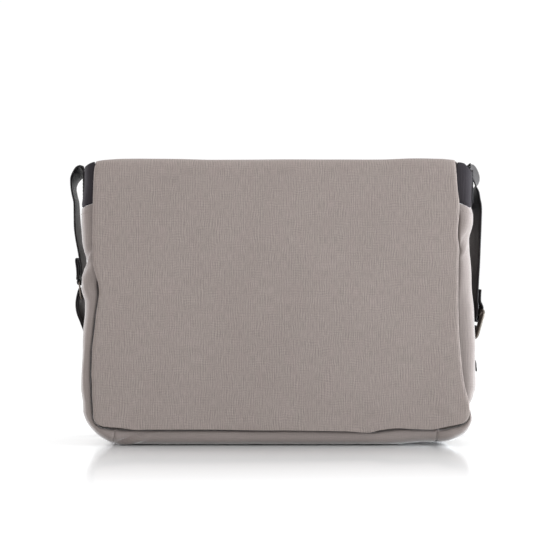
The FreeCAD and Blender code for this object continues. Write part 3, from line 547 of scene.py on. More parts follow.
def section(a):
    """Across the gusset from the front seam to the back seam: depth y, inset
    from the outer line, and the outward direction's two parts."""
    a = np.asarray(a, float)
    b = np.where(a > ACROSS / 2, ACROSS - a, a)
    th = np.clip(b / 15.0, 0, math.pi / 2)
    inset = 15 - 15 * np.sin(th)
    y = -52 + 15 * (1 - np.cos(th)) + np.maximum(b - QUARTER, 0)
    no, ny = np.sin(th), -np.cos(th)
    flip = np.where(a > ACROSS / 2, -1.0, 1.0)
    return y * flip, inset, no, ny * flip


pinch_left = Curve([(252, 0.0), (242, 0.5), (215, 6.0), (190, 8.5), (150, 9.0), (110, 7.5), (75, 3.5), (50, 0.6), (38, 0)])
pinch_right = Curve([(252, 0.0), (242, 0.5), (215, 6.0), (190, 9.0), (155, 12.0), (138, 17.0), (122, 20.2), (108, 18.6), (92, 12.5), (72, 5.4), (50, 0.8), (38, 0)])


def pinch(y, z, right):
    """The sides draw in along their middle, more where the ring lies."""
    mid = np.where(right, 12.2, 0.0)
    return np.where(right, pinch_right(z), pinch_left(z)) * bump((y - mid) / np.where(right, 44.2, 39.0))


def inside_flap(x, z):
    """True where the point lies behind the hanging flap, seen from the front."""
    foot = flap_foot(x)
    xl, xr = flap_left(z), flap_right(z)
    ok = (x > xl) & (x < xr) & (z > foot)
    for sx, xe in ((-1.0, xl), (1.0, xr)):
        cx, cz = xe - sx * FLAP_R, foot + FLAP_R
        corner = ((x - cx) * sx > 0) & (z < cz)
        ok &= ~(corner & ((x - cx) ** 2 + (z - cz) ** 2 > FLAP_R**2))
    return ok


def flap_insets():
    """Distance from the gusset's outer line in to the flap's outline."""
    s = np.arange(-60.0, TOTAL + 60.0, 1.5)
    px, pz, nx, nz = u_path(s)
    t = np.arange(0, 34, 0.25)
    X, Z = px[:, None] - nx[:, None] * t, pz[:, None] - nz[:, None] * t
    hit = inside_flap(X, Z)
    d = np.where(hit.any(1), t[np.argmax(hit, 1)], 20.0)
    k = np.exp(-0.5 * (np.arange(-6, 7) / 2.2) ** 2)
    return s, np.convolve(np.pad(d, 6, mode="edge"), k / k.sum(), "valid")


INSET_S, INSET_D = flap_insets()
belly_out = Curve([(0, 1.0), (3, 1.0), (6, 1.0), (10, 0.87), (14, 0.67), (18, 0.45), (21, 0.33), (25, 0.16), (30, 0.05), (36, 0.0), (60, 0.0)])
belly_y = Curve([(0, -45.0), (3.3, -45.6), (4.9, -50.5), (6.2, -57.4), (8, -59.5), (10, -60.2), (14, -60.3), (18, -59.2), (21, -57.0), (25, -52.4), (30, -45.7),
                 (36, -37.0), (43, -24.6), (50, -10.6), (62, 1.44)])


def gusset_points(a, s, thick=1.6, sunk=0.0):
    """Middle of the gusset cloth for a across and s along the U.  s runs past
    both ends for the black bands above."""
    a, s = np.broadcast_arrays(np.asarray(a, float), np.asarray(s, float))
    px, pz, nx, nz = u_path(s)
    y, inset, no, ny = section(a)
    right = s > TOTAL / 2
    arc = np.where(right, TOTAL - LEG - s, s - LEG)
    side = arc <= 0
    zz = np.where(side, pz, 38.0)
    off = np.where(right, out_right(zz), out_left(zz))
    off = np.where(side, off, np.where(right, corner_right(arc), corner_left(arc)))
    # the bottom lies flat in its middle
    off = np.where(arc > ARC, off * (1 - smooth((arc - ARC) / 55.0)), off)
    full = np.where(right, full_right(zz), full_left(zz)) * np.where(side, 1.0, 1 - 0.22 * smooth((arc - 0.6 * ARC) / 40.0))
    gap = np.where(right, gap_right(zz), gap_left(zz)) * np.where(side, 1.0, 1 - 0.72 * smooth((arc - 0.72 * ARC) / 26.0))
    reach = smooth((a - 7) / 12.0) * smooth((ACROSS - a - 7) / 12.0)
    rear = a > ACROSS / 2
    off = off * reach * np.where(rear, 0.5, 1.0)
    # creases of the soft sides
    u = a
    lf, rt = (~right) & side, right & side
    c1 = bump(((zz - 206) + (u - 3) * 0.80) / 4.5) * smooth((34 - u) / 12.0) * lf
    c2 = bump(((zz - 214) + (u - 3) * 0.80) / 7.0) * smooth((40 - u) / 14.0) * lf
    c3 = bump(((zz - 198) - (u - 3) * 0.80) / 4.5) * smooth((26 - u) / 10.0) * rt
    c4 = bump(((zz - 206) - (u - 3) * 0.80) / 7.0) * smooth((28 - u) / 10.0) * rt
    c5 = bump(((zz - 44) + (u - 20) * 0.25) / 4.0) * smooth((u - 8) / 8) * smooth((50 - u) / 20.0) * rt
    c6 = bump(((zz - 168) - (u - 18) * 1.6) / 8.0) * bump((u - 24) / 16.0) * lf
    s7 = LEG + ARC - 2.0
    c7 = bump(((u - 25) + (s - s7) * 0.50) / 4.2) * bump((s - s7 - 15) / 21.0)
    c8 = bump(((u - 31) + (s - s7) * 0.50) / 4.5) * bump((s - s7 - 17) / 24.0)
    off = off + (1.6 * c1 - 1.8 * c2 + 1.5 * c3 - 1.8 * c4 - 0.9 * c5 + 0.9 * c6 - 3.0 * c7 + 1.8 * c8) * (~rear)
    wave = field(s, a * 1.0, 26.0, 5) * 0.45 + field(s, a, 60.0, 6) * 0.8
    calm = smooth(a / 10.0) * smooth((ACROSS - a) / 10.0)
    on_floor = smooth((arc - ARC * 0.55) / 20.0)
    off = off + wave * calm * (1 - 0.8 * on_floor)
    # small wrinkles low on the front, beside the left corner seam
    low_wr = bump((s - (LEG + ARC + 20)) / 44.0) * bump((a - 12) / 12.0)
    off = off + 1.0 * np.sin((s * 0.55 + a * 0.9) * 0.40) * low_wr
    # belly: the cloth comes forward beside and below the flap
    af = np.where(rear, ACROSS - a, a)
    it = np.interp(s, INSET_S, INSET_D) - gap
    it = np.where(rear, 14.0, it)
    full = np.where(rear, 0.35, full)
    slot = smooth((gap + 0.6) / 1.8)
    bi = belly_out(af) * it + 5.0 * (1 - smooth(af / 4.6))
    shallow = -57.6 - 2.2 * smooth(af / 7.0)
    by = belly_y(af)
    by = np.where((af < 9) & ~rear, np.minimum(by, by * slot + shallow * (1 - slot)), by)
    by = np.where(rear, -by, by)
    use = full * smooth((58 - af) / 14.0)
    inset = inset * (1 - use) + bi * use
    y = y * (1 - use) + by * use
    pin = np.where(side, pinch(y, zz, right), 0.0)
    depth = thick / 2 + sunk
    out = -inset + no * (off - depth) - pin
    X = px + nx * out
    Z = pz + nz * out
    Y = y + ny * (off * 0.6 - depth)
    Z = np.maximum(Z, thick / 2 + 0.12)
    return np.stack([X, Y, Z], -1)


def hem_slant(a, s):
    """The hem lies at a slant beside the black end."""
    af = np.where(a > ACROSS / 2, ACROSS - a, a)
    slant = np.interp(af, [0, 6, 12, 20, 28, 40], [3.2, 3.0, 1.2, -1.6, -2.6, -2.2])
    top = np.where(s > TOTAL / 2, TOTAL - s, s)
    return slant * (1 - smooth(top / 30.0)) * (top < 60)


def along(lo, hi, fine=3.0):
    return np.linspace(lo, hi, max(int(round(abs(hi - lo) / fine)), 1) + 1)


A_AT = np.concatenate([along(0.4, QUARTER + 12, 1.5), along(QUARTER + 12, ACROSS - QUARTER - 8, 4.0)[1:],
                       along(ACROSS - QUARTER - 8, ACROSS - 0.4, 2.0)[1:]])


def gusset_piece(name, s0, s1, node, seam0, seam1):
    """One of the three lengths of gusset; its cut ends turn in at the seams."""
    S = along(s0, s1, 3.0)
    ends = []
    if seam0:
        ends += [s0 + 0.0, s0 + 0.7, s0 + 1.6]
    if seam1:
        ends += [s1 - 1.6, s1 - 0.7, s1]
    S = np.unique(np.round(np.concatenate([S, ends]), 3))
    a, s = np.meshgrid(A_AT, S, indexing="ij")
    P = gusset_points(a, s)
    P[..., 2] += hem_slant(a, s)
    _, _, N = normals(P)
    dip = np.zeros(len(S))
    if seam0:
        dip += 1.3 * (1 - smooth((S - s0) / 2.2))
    if seam1:
        dip += 1.3 * (1 - smooth((s1 - S) / 2.2))
    c = np.array([0.0, 0.0, 120.0])
    sign = np.sign(np.sum(N * (P - c), -1, keepdims=True))
    P = P - N * sign * dip[None, :, None]
    P[..., 2] = np.maximum(P[..., 2], GUSSET_T / 2 + 0.12)
    ob = shell(name, P, np.stack([a, s], -1), GUSSET_T, [GUSSET])
    finish_piece(ob, "canvas", node)
    return P, N * sign, S


SEAM_L = LEG + ARC + HALF - 173.5
SEAM_R = LEG + ARC + HALF + 167.5
gl = gusset_piece("gusset_left_cloth", 0.0, SEAM_L - 0.25, "gusset_left", False, True)
gb = gusset_piece("gusset_bottom_cloth", SEAM_L + 0.25, SEAM_R - 0.25, "gusset_bottom", True, True)
gr = gusset_piece("gusset_right_cloth", SEAM_R + 0.25, TOTAL, "gusset_right", True, False)

# stitching along the hems of the gussets; lines for the two corner seams are gathered too but not sewn
lines = []
for (P, N, S), js in ((gl, (2,)), (gr, (len(gr[2]) - 3,))):
    for j in js:
        lines.append((P[4:-4, j] + N[4:-4, j] * GUSSET_T / 2, N[4:-4, j]))
for (P, N, S), j in ((gl, -4), (gb, 3), (gb, -4), (gr, 3)):
    lines.append((P[8:-8, j] + N[8:-8, j] * GUSSET_T / 2, N[8:-8, j]))
finish_piece(stitches("gusset_stitching", lines[:2], THREAD), "canvas")


# black ends of the gussets
def gusset_end(name, side, node):
    a = np.concatenate([along(0.4, QUARTER + 22, 1.5), along(QUARTER + 22, ACROSS - QUARTER - 8, 3.5)[1:],
                        along(ACROSS - QUARTER - 8, ACROSS - 0.4, 2.2)[1:]])
    v = np.linspace(0, 1, 26)
    A, Vv = np.meshgrid(a, v, indexing="ij")
    # where the flap's edge passes, the band stays below the fold
    base = gusset_points(a, np.full_like(a, -30.0 if side < 0 else TOTAL + 30.0), 1.7)
    edge = 192.6 if side < 0 else 188.6
    clear = np.where(base[:, 1] < -30, smooth((np.abs(base[:, 0]) - edge + 0.6) / 1.0), 1.0)
    af = np.where(a > ACROSS / 2, ACROSS - a, a)
    bx, by_ = np.abs(base[:, 0]), base[:, 1]
    if side < 0:
        top = np.interp(bx, [190, 195, 198.3, 203.6, 206], [298.2, 297.8, 296.5, 294.0, 292.6])
    else:
        top = np.interp(bx, [186, 192, 195.6, 199.5, 203, 206], [297.6, 297.4, 296.6, 293.5, 288.8, 286.5])
    mid = smooth((by_ + 33) / 12.0)
    top = top * (1 - mid) + 291.6 * mid
    top = np.where(by_ > 20, np.interp(a, [80, 98, 108, 121], [291.6, 291.4, 289.5, 282]), top)
    low = 292.4 if side < 0 else 293.4
    top = np.where(a < ACROSS / 2, low + (top - low) * clear, top)
    Z = 244.5 + Vv * (top[:, None] - 244.5)
    S = (252 - Z) if side < 0 else TOTAL - (252 - Z)
    tuck = 2.4 * (1 - smooth((Z - 252.5 - hem_slant(A, S * 0 + (0 if side < 0 else TOTAL))) / 3.0))
    P = gusset_points(A, S, 1.7)
    Q = gusset_points(A, S, 1.7, 1.0)
    P = P + (Q - P) * tuck[..., None]
    P[..., 2] = Z
    press = smooth((P[..., 1] + 25) / 5.0) * smooth((25 - P[..., 1]) / 5.0) * smooth((Z - 251) / 5.0)
    lean = 1.4 * smooth((Z - 282) / 5.0) * smooth((-2 - P[..., 1]) / 6.0)
    P[..., 0] -= side * press * ((1.7 - 0.5 * smooth((Z - 262) / 12.0)) if side < 0 else (0.6 + 1.1 * smooth((Z - 276) / 6.0) + lean))
    ob = shell(name, P, np.stack([A, Z], -1), 1.7, [ENDWEB])
    finish_piece(ob, "webbing", node)
    _, _, N = normals(P)
    sg = np.sign(np.sum(N * (P - np.array([0, 0, 270.0])), -1, keepdims=True))
    line = P[14:-5, -3] + N[14:-5, -3] * sg[14:-5, -3] * 0.85
    return line, N[14:-5, -3] * sg[14:-5, -3]


end_lines = [gusset_end("gusset_end_left", -1.0, "gusset_top_left"), gusset_end("gusset_end_right", 1.0, "gusset_top_right")]
finish_piece(stitches("gusset_end_stitching", end_lines, BLACKTHREAD, r=0.28), "webbing")


# panels
def panel(name, xl, xr, zb, zt, round_r, depth, t, mats, node, slot="canvas", step=5.0, rim=(1, 1, 1, 1), round_right=None):
    """Upright sheet with two round lower corners; depth(x, z) is its y."""
    z = np.concatenate([along(zt, zb + round_r, step), zb + round_r * (1 - np.sin(np.linspace(0, math.pi / 2, 9)))[1:]])
    u = np.linspace(0, 1, int((xr - xl) / step) + 1)
    U, Z = np.meshgrid(u, z, indexing="ij")
    drop = np.clip(round_r - (Z - zb), 0, round_r)
    cut = round_r - np.sqrt(np.maximum(round_r**2 - drop**2, 0))
    rr = round_right or round_r
    drop = np.clip(rr - (Z - zb), 0, rr)
    cut_r = rr - np.sqrt(np.maximum(rr**2 - drop**2, 0))
    X = xl + cut + (xr - xl - cut - cut_r) * U
    P = np.stack([X, depth(X, Z), Z], -1)
    ob = shell(name, P, np.stack([X, Z], -1), t, mats, rim)
    if node:
        finish_piece(ob, slot, node)
    return P, ob


panel("front_panel_cloth", -190.2, 190.2, 15.9, 280, 22.5,
      lambda x, z: -51.1 + 0.5 * field(x, z, 70, 11) * bump(x / 200) * smooth((z - 15) / 30) + 0.3 * smooth((z - 250) / 20), 1.5, [CANVAS], "front_panel", round_right=12.0)
_bp = panel("back_panel_cloth", -190.2, 190.2, 15.9, 280, 22.5,
            lambda x, z: 51.0 + (2.6 * bump(x / 190) * bump((z - 130) / 135) + 0.6 * field(x, z, 80, 12)) * smooth((258 - z) / 30)
            * smooth((z - 16) / 30) * smooth((190 - np.abs(x)) / 30), 1.5, [CANVAS], "back_panel")

# the back panel's edges are topstitched beside the gusset seams
_edge = []
for P in (_bp[0],):
    ring = [(i, j) for i, j in [(3, j) for j in range(6, P.shape[1] - 2)]]
    ring += [(i, P.shape[1] - 2) for i in range(4, P.shape[0] - 4)]
    ring += [(P.shape[0] - 4, j) for j in range(P.shape[1] - 3, 5, -1)]
    Q = np.array([P[i, j] for i, j in ring])
    Q[:, 1] += 0.78
    _edge.append((Q, np.tile([0.0, 1.0, 0.0], (len(Q), 1))))

# mouth hem
_hem = panel("mouth_hem_cloth", -190.0, 190.0, 262, 280.4, 0.6, lambda x, z: -52.55 - 0.15 * bump((z - 271) / 9), 0.9, [CANVAS], "mouth_hem", step=3.0)
hx = along(-187, 187, 4)
for z in (264.5, 278.0):
    _edge.append((np.stack([hx, 0 * hx - 53.1, 0 * hx + z], 1), np.tile([0.0, -1.0, 0.0], (len(hx), 1))))

# zipped pocket on the front panel
panel("front_pocket_cloth", -160, 160, 78, 200.4, 16,
      lambda x, z: -52.45 - 0.35 * bump(x / 160) * bump((z - 135) / 60), 0.9, [CANVAS], "front_pocket_panel", step=4.0)
px, pz = [], []
for z in along(197, 96, 4):
    px.append(-157.4); pz.append(z)
for q in np.linspace(0, math.pi / 2, 7):
    px.append(-144 - 13.4 * math.cos(q)); pz.append(94 - 13.4 * math.sin(q))
for x in along(-140, 140, 4):
    px.append(x); pz.append(80.6)
for q in np.linspace(math.pi / 2, 0, 7):
    px.append(144 + 13.4 * math.cos(q)); pz.append(94 - 13.4 * math.sin(q))
for z in along(96, 197, 4):
    px.append(157.4); pz.append(z)
px, pz = np.array(px), np.array(pz)
_edge.append((np.stack([px, 0 * px - 52.98, pz], 1), np.tile([0.0, -1.0, 0.0], (len(px), 1))))
tx = along(-150, 150, 4)
for z in (202.0, 223.0):
    _edge.append((np.stack([tx, 0 * tx - 54.85, 0 * tx + z], 1), np.tile([0.0, -1.0, 0.0], (len(tx), 1))))


# zip tapes
def tape(name, z0, z1, node):
    x, z = np.meshgrid(along(-152, 152, 4), np.linspace(z0, z1, 6), indexing="ij")
    P = np.stack([x, -54.4 + 0.0 * x, z], -1)
    finish_piece(shell(name, P, np.stack([z, x], -1), 0.75, [TAPE]), "zip_tape", node)


tape("zip_tape_low_cloth", 200.3, 209.9, "zip_tape_lower")
tape("zip_tape_high_cloth", 214.1, 224.7, "zip_tape_upper")

# coil teeth: two coils that mesh
V, F = [], []
for side in (-1, 1):
    turns = 110
    th = np.linspace(0, 2 * math.pi * turns, turns * 9)
    xx = -147.5 + 283.0 * th / th[-1] + (0.65 if side > 0 else 0)
    zz = 212 + side * 0.95 + 1.35 * np.cos(th)
    yy = -54.4 + 0.62 * np.sin(th)
    c = np.stack([xx, yy, zz], 1)
    T = unit(np.gradient(c, axis=0))
    up = np.tile([0.0, -1.0, 0.0], (len(c), 1))
    s_ = unit(np.cross(T, up))
    u_ = np.cross(s_, T)
    sect = [(0.33 * math.cos(q), 0.33 * math.sin(q)) for q in np.linspace(0, 2 * math.pi, 6)[:-1]]
    v2, f2 = tube(list(zip(c, s_, u_)), sect)
    F += [tuple(i + len(V) for i in f) for f in f2]
    V += v2
finish_piece(make("zip_coils", V, F, V, [COIL]), "zip_coil", "zip_teeth")

# lining: a tub of thin cloth that follows the case
phi_n = 176


def tub_ring(hx_, hy_, r, z):
    """Even points round a rounded rectangle."""
    seg = [(2 * (hx_ - r), 0), (r * math.pi / 2, 1), (2 * (hy_ - r), 2), (r * math.pi / 2, 3), (2 * (hx_ - r), 4), (r * math.pi / 2, 5),
           (2 * (hy_ - r), 6), (r * math.pi / 2, 7)]
    total = sum(s for s, _ in seg)
    out = []
    for q in range(phi_n):
        d = total * q / phi_n
        for ln, k in seg:
            if d <= ln or k == 7:
                break
            d -= ln
        if k == 0: p = (-hx_ + r + d, -hy_)
        elif k == 1: p = (hx_ - r + r * math.sin(d / r), -hy_ + r - r * math.cos(d / r))
        elif k == 2: p = (hx_, -hy_ + r + d)
        elif k == 3: p = (hx_ - r + r * math.cos(d / r), hy_ - r + r * math.sin(d / r))
        elif k == 4: p = (hx_ - r - d, hy_)
        elif k == 5: p = (-hx_ + r - r * math.sin(d / r), hy_ - r + r * math.cos(d / r))
        elif k == 6: p = (-hx_, hy_ - r - d)
        else: p = (-hx_ + r - r * math.cos(d / r), -hy_ + r - r * math.sin(d / r))
        out.append((p[0], p[1], z))
    return np.array(out)


rings = []
HX, HY = 199.2, 48.4
for z in along(274, 40, 6.0):
    rings.append(tub_ring(HX, HY, 15.5, z))
for z in 37 - 33.6 * np.sin(np.linspace(0.08, math.pi / 2, 12)):
    hx_ = HX - 34 + math.sqrt(max(34**2 - (37 - z) ** 2, 0))
    hy_ = HY if z > 15 else HY - 11.6 + math.sqrt(max(11.6**2 - (15 - z) ** 2, 0))
    rings.append(tub_ring(hx_, hy_, 15.5, z))
zf = rings[-1][0, 2]
hx_, hy_ = rings[-1][:, 0].max(), rings[-1][:, 1].max()
for k in (0.85, 0.6, 0.35, 0.12, 0.02):
    rings.append(tub_ring(hx_ - (1 - k) * hy_, hy_ * k, 15.5 * k * 0.9, zf))
P = np.stack(rings, 1)
wall = smooth((P[..., 2] - 20) / 20)
P[..., 0] -= np.sign(P[..., 0]) * pinch(P[..., 1], P[..., 2], P[..., 0] > 0) * smooth((np.abs(P[..., 0]) - 150) / 40)
wr = field(P[..., 0] * 1.0 + P[..., 1] * 1.7, P[..., 2] * 0.7, 40, 21)
inward = (0.8 + 0.8 * wr) * wall * smooth((272 - P[..., 2]) / 20)
flatwall = np.abs(P[..., 1]) > 40
P[..., 1] -= np.sign(P[..., 1]) * np.where(flatwall, inward, 0)
P[..., 0] -= np.sign(P[..., 0]) * np.where(~flatwall & (np.abs(P[..., 0]) > 150), inward, 0)
arc = np.arange(phi_n)[:, None] * (2 * (2 * HX + 2 * HY) / phi_n) + 0 * P[..., 2]
finish_piece(shell("lining_cloth", P, np.stack([arc, P[..., 2]], -1), 0.8, [LINING], closed=True), "lining", "main_lining")

# slip pocket inside, with a bound top edge
_sp, ob = panel("slip_pocket_cloth", -120, 120, 60.5, 229, 8,
                lambda x, z: 46.4 - 2.2 * bump(x / 120) * smooth((z - 120) / 110), 1.0, [LINING], "inner_slip_pocket", slot="lining")
bx = along(-119, 119, 4)
by = 46.4 - 2.2 * bump(bx / 120)
P = np.stack([np.stack([bx, by - 1.0, 0 * bx + 221], 1), np.stack([bx, by - 1.15, 0 * bx + 226], 1), np.stack([bx, by - 0.9, 0 * bx + 229.6], 1),
              np.stack([bx, by, 0 * bx + 230.6], 1)], 1)
finish_piece(shell("slip_pocket_binding", P, np.stack([np.broadcast_to(bx[:, None], P.shape[:2]), P[..., 2]], -1), 0.7, [TAPE]), "webbing")


# --------------------------------------------------------------------- flap
def flap_section(off):
    """Section of the flap from its sewn strip on the back, over the top and
    down the front, as a line offset inwards by off from its outer face."""
    p = []
    for z in along(262.0, 284.0, 3.0):
        p.append((56.4 - off, z))
    for q in np.linspace(0, math.pi / 2, 9)[1:]:
        p.append((44 + (12.4 - off) * math.cos(q), 284 + (12.4 - off) * math.sin(q)))
    for y, z in ((34, 298.2), (23, 300.2), (12, 301.6), (2, 302.3), (-10, 302.5), (-21, 302.2), (-32, 301.6)):
        p.append((y, z - off))
    for q in np.linspace(math.pi / 2, math.pi, 11):
        p.append((-44 + (17.8 - off) * math.cos(q), 283 + (17.8 - off) * math.sin(q)))
    for z in along(279, 14.0, 5.0):
        p.append((-61.8 + off, z))
    p = np.array(p)
    run = np.concatenate([[0], np.cumsum(np.linalg.norm(np.diff(p, axis=0), axis=1))])
    at = np.arange(0, run[-1] + 1e-6, 0.5)
    q = np.stack([np.interp(at, run, p[:, k]) for k in (0, 1)], 1)
    k = np.exp(-0.5 * (np.arange(-8, 9) / 3.2) ** 2)
    k /= k.sum()
    pad_ = np.vstack([2 * q[0] - q[8:0:-1], q, 2 * q[-1] - q[-2:-10:-1]])
    return np.stack([np.convolve(pad_[:, c], k, "valid") for c in (0, 1)], 1), at


roof_wave = Curve([(-192, -1.0), (-184, 0.4), (-165, 1.7), (-145, 2.0), (-110, 1.1), (-60, 0.8), (0, 0.7), (60, 0.7), (110, 0.9),
                   (152, 2.1), (172, 1.8), (182, 0.8), (192, -0.8)])


def flap_grid(off, s_from, s_to, inset, step=4.0, foot_extra=0.0):
    """Grid over part of the flap; s counts along the section in mm."""
    q, at = flap_section(off)
    i_fold = int(np.argmin(np.abs(q[:, 0] + 44) + (q[:, 1] < 290) * 500))
    fall = np.where((q[:, 0] < -55) & (q[:, 1] < 281))[0][0]
    s_fall = at[fall]
    total = at[-1]
    s = along(s_from, min(s_to, total), step)
    hang = s > s_fall
    s = np.unique(np.round(np.concatenate([s[~hang], along(s_fall, total, step), total - 20 * (1 - np.sin(np.linspace(0, math.pi / 2, 10)))]), 3)) \
        if s_to >= total else s
    s = s[(s >= s_from - 1e-6)]
    u = np.concatenate([np.linspace(0, 0.06, 8)[:-1], np.linspace(0.06, 0.94, 86)[:-1], np.linspace(0.94, 1, 8)])
    U, S = np.meshgrid(u, s, indexing="ij")
    y = np.interp(S, at, q[:, 0])
    z = np.interp(S, at, q[:, 1])
    T = np.gradient(q, axis=0)
    T = T / np.linalg.norm(T, axis=1, keepdims=True)
    ny, nz = np.interp(S, at, -T[:, 1]), np.interp(S, at, T[:, 0])
    # outward: away from the inside of the bag
    flip = np.where(ny * y + nz * (z - 150) < 0, -1.0, 1.0)
    ny, nz = ny * flip, nz * flip
    front = S > at[np.argmin(np.abs(q[:, 1] - q[:, 1].max()))]
    zl = np.where(front, z, 300.0)
    back_w = smooth((y + 30) / 70.0) * (~front | (z > 290))
    xl = flap_left(zl) * (1 - back_w) + -190.7 * back_w
    xr = flap_right(zl) * (1 - back_w) + 190.4 * back_w + 8.0 * bump((y - 6) / 34.0) * (z > 290)
    # the hanging part ends along the uneven foot line
    x_mid = xl + (xr - xl) * U
    foot = flap_foot(x_mid) + inset + foot_extra
    z_end = q[-1, 1]
    share = smooth((S - s_fall) / (total - s_fall)) * 0 + np.clip((S - s_fall) / (total - s_fall), 0, 1)
    if s_to >= total:
        z = z + (foot - z_end) * share
    R = FLAP_R - inset * 0.5
    drop = np.clip(R - (z - foot), 0, R) * (share > 0)
    cut = R - np.sqrt(np.maximum(R * R - drop * drop, 0))
    xl = xl + inset + cut
    xr = xr - inset - cut
    X = xl + (xr - xl) * U
    # unevenness of the cloth, outwards only where pieces lie close behind
    roof = smooth((z - 285) / 10.0)
    wave = roof_wave(X) * roof * smooth((52 - y) / 30.0)
    hangs = share
    bow = 1.3 * bump((X - 10) / 200.0) * bump((z - 150) / 150.0) + 0.55 * (1 + field(X, z, 75, 41)) + 0.25 * (1 + field(X, z, 28, 42))
    bow = bow * smooth(hangs * 6.0) + 1.4 * smooth((np.abs(X) - 150) / 45.0) * smooth((70 - z) / 60.0) * (hangs > 0)
    ripple = 0.35 * field(X, S, 34, 43) * roof * smooth((48 - y) / 20.0)
    h = wave + bow + ripple
    h = h + 0.42 * np.sin((X * 0.55 - z * 0.95) * 0.40) * bump((X + 172) / 30.0) * bump((z - 33) / 17.0) * (hangs > 0)
    h = h + 0.30 * np.sin((X * 0.50 + z * 0.80) * 0.33) * bump((X - 176) / 26.0) * bump((z - 36) / 16.0) * (hangs > 0)
    # the roof's right edge droops a little over the black end
    sag = 4.2 * smooth((X - 188) / 10.0) * bump((y - 4) / 38.0) * (z > 290)
    P = np.stack([X, y + ny * h, z + nz * h - sag], -1)
    return P, U, S, X, (s_fall, total)


_, at0 = flap_section(0.6)
q0, _ = flap_section(0.6)
S_MID = at0[int(np.argmin(np.abs(q0[:, 0] - 2.0) + (q0[:, 1] < 290) * 500))]

flap_objs = {}
for tag, s0, s1, rim in (("back", 0.0, S_MID, (1, 1, 1, 0)), ("front", S_MID, 1e9, (1, 1, 0, 1))):
    P, U, S, X, lim = flap_grid(0.65, s0, s1, 0.0)
    flap_objs[tag] = (shell("flap_%s_cloth" % tag, P, np.stack([X, S], -1), 1.3, [CANVAS], rim), P, U, S)
    q1, at1 = flap_section(2.05)
    m1 = at1[int(np.argmin(np.abs(q1[:, 0] - 2.0) + (q1[:, 1] < 290) * 500))]
    P2, U2, S2, X2, lim2 = flap_grid(2.05, 0.0 if tag == "back" else m1, m1 if tag == "back" else 1e9, 1.6)
    # a turned canvas edge runs round the inside; the rest is lining
    d_edge = np.minimum(X2 - X2.min(axis=0, keepdims=True), X2.max(axis=0, keepdims=True) - X2)
    d_foot = P2[..., 2] - P2[..., -1:, 2] if tag == "front" else d_edge * 0 + 99
    near = np.minimum(d_edge, d_foot)
    hemm = (near[:-1, :-1] < 11).astype(int)
    flap_objs[tag + "_in"] = (shell("flap_%s_lining_cloth" % tag, P2, np.stack([X2, S2], -1), 0.8 + 0.25 * (near < 11), [LINING, CANVAS], rim,
                                    front=hemm, back=hemm, edge=1), P2, U2, S2)

# stitching on the flap: two rows that hold it to the back, and one round the
# inside of its turned edge
P = flap_objs["back"][1]
rows_ = []
for zc in (265.0, 271.0):
    j = int(np.argmin(np.abs(P[50, :, 2] - zc)))
    Q = P[2:-2, j].copy()
    Q[:, 1] += 0.66
    rows_.append((Q, np.tile([0.0, 1.0, 0.0], (len(Q), 1))))
_edge += rows_
finish_piece(stitches("case_stitching", _edge, THREAD), "canvas")

P2, U2 = flap_objs["front_in"][1], flap_objs["front_in"][2]
_, _, N2 = normals(P2)
sg = np.sign(np.sum(N2 * (np.array([0, 0, 150.0]) - P2), -1, keepdims=True))
N2 = N2 * sg
n_u, n_s = P2.shape[:2]
d_left = X_l = None
js = [j for j in range(n_s) if P2[50, j, 2] < 276 and P2[50, j, 2] > 30]
run_pts, run_nrm = [], []
for j in js:
    x_here = P2[:, j, 0]
    x_t = x_here.min() + 9.0
    run_pts.append([np.interp(x_t, x_here, P2[:, j, k]) for k in range(3)])
    run_nrm.append(N2[4, j])
jf = max(j for j in range(n_s) if P2[50, j, 2] > P2[50, -1, 2] + 9.0)
for i in range(8, n_u - 8, 2):
    run_pts.append(P2[i, jf]); run_nrm.append(N2[i, jf])
for j in js[::-1]:
    x_here = P2[:, j, 0]
    x_t = x_here.max() - 9.0
    run_pts.append([np.interp(x_t, x_here, P2[:, j, k]) for k in range(3)])
    run_nrm.append(N2[-5, j])
run_pts, run_nrm = np.array(run_pts), np.array(run_nrm)
hem_stitch = stitches("flap_hem_stitching", [(run_pts + run_nrm * 0.55, run_nrm)], THREAD, r=0.28)

for tag, nodes in (("back", ("flap_back_fold",)), ("front", ("flap_front_shell", "flap_front_fold", "flap_top_shell"))):
    ob = flap_objs[tag][0]
    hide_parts(*nodes)
    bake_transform(ob)
for tag, nodes in (("back_in", ("flap_top_lining",)), ("front_in", ("flap_front_lining",))):
    ob = flap_objs[tag][0]
    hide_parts(*nodes)
    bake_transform(ob)
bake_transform(hem_stitch)


# -------------------------------------------------------------------- strap
WIDE, THICK = 38.0, 1.6


def facing(side):
    """The strap's front edge stands out from the bag by the turn and up by
    the tilt, in degrees."""
    def ref(turn, tilt=0.0):
        a, b = math.radians(turn), math.radians(tilt)
        return (side * math.sin(a), -math.cos(a) * math.cos(b), math.sin(b))
    return ref


def down(side, x_front, y, z, turn, tilt=0.0):
    """A row of a fall, given where its front edge is."""
    a = math.radians(turn)
    return (side * x_front - side * 19 * math.sin(a), y, z, turn, tilt)


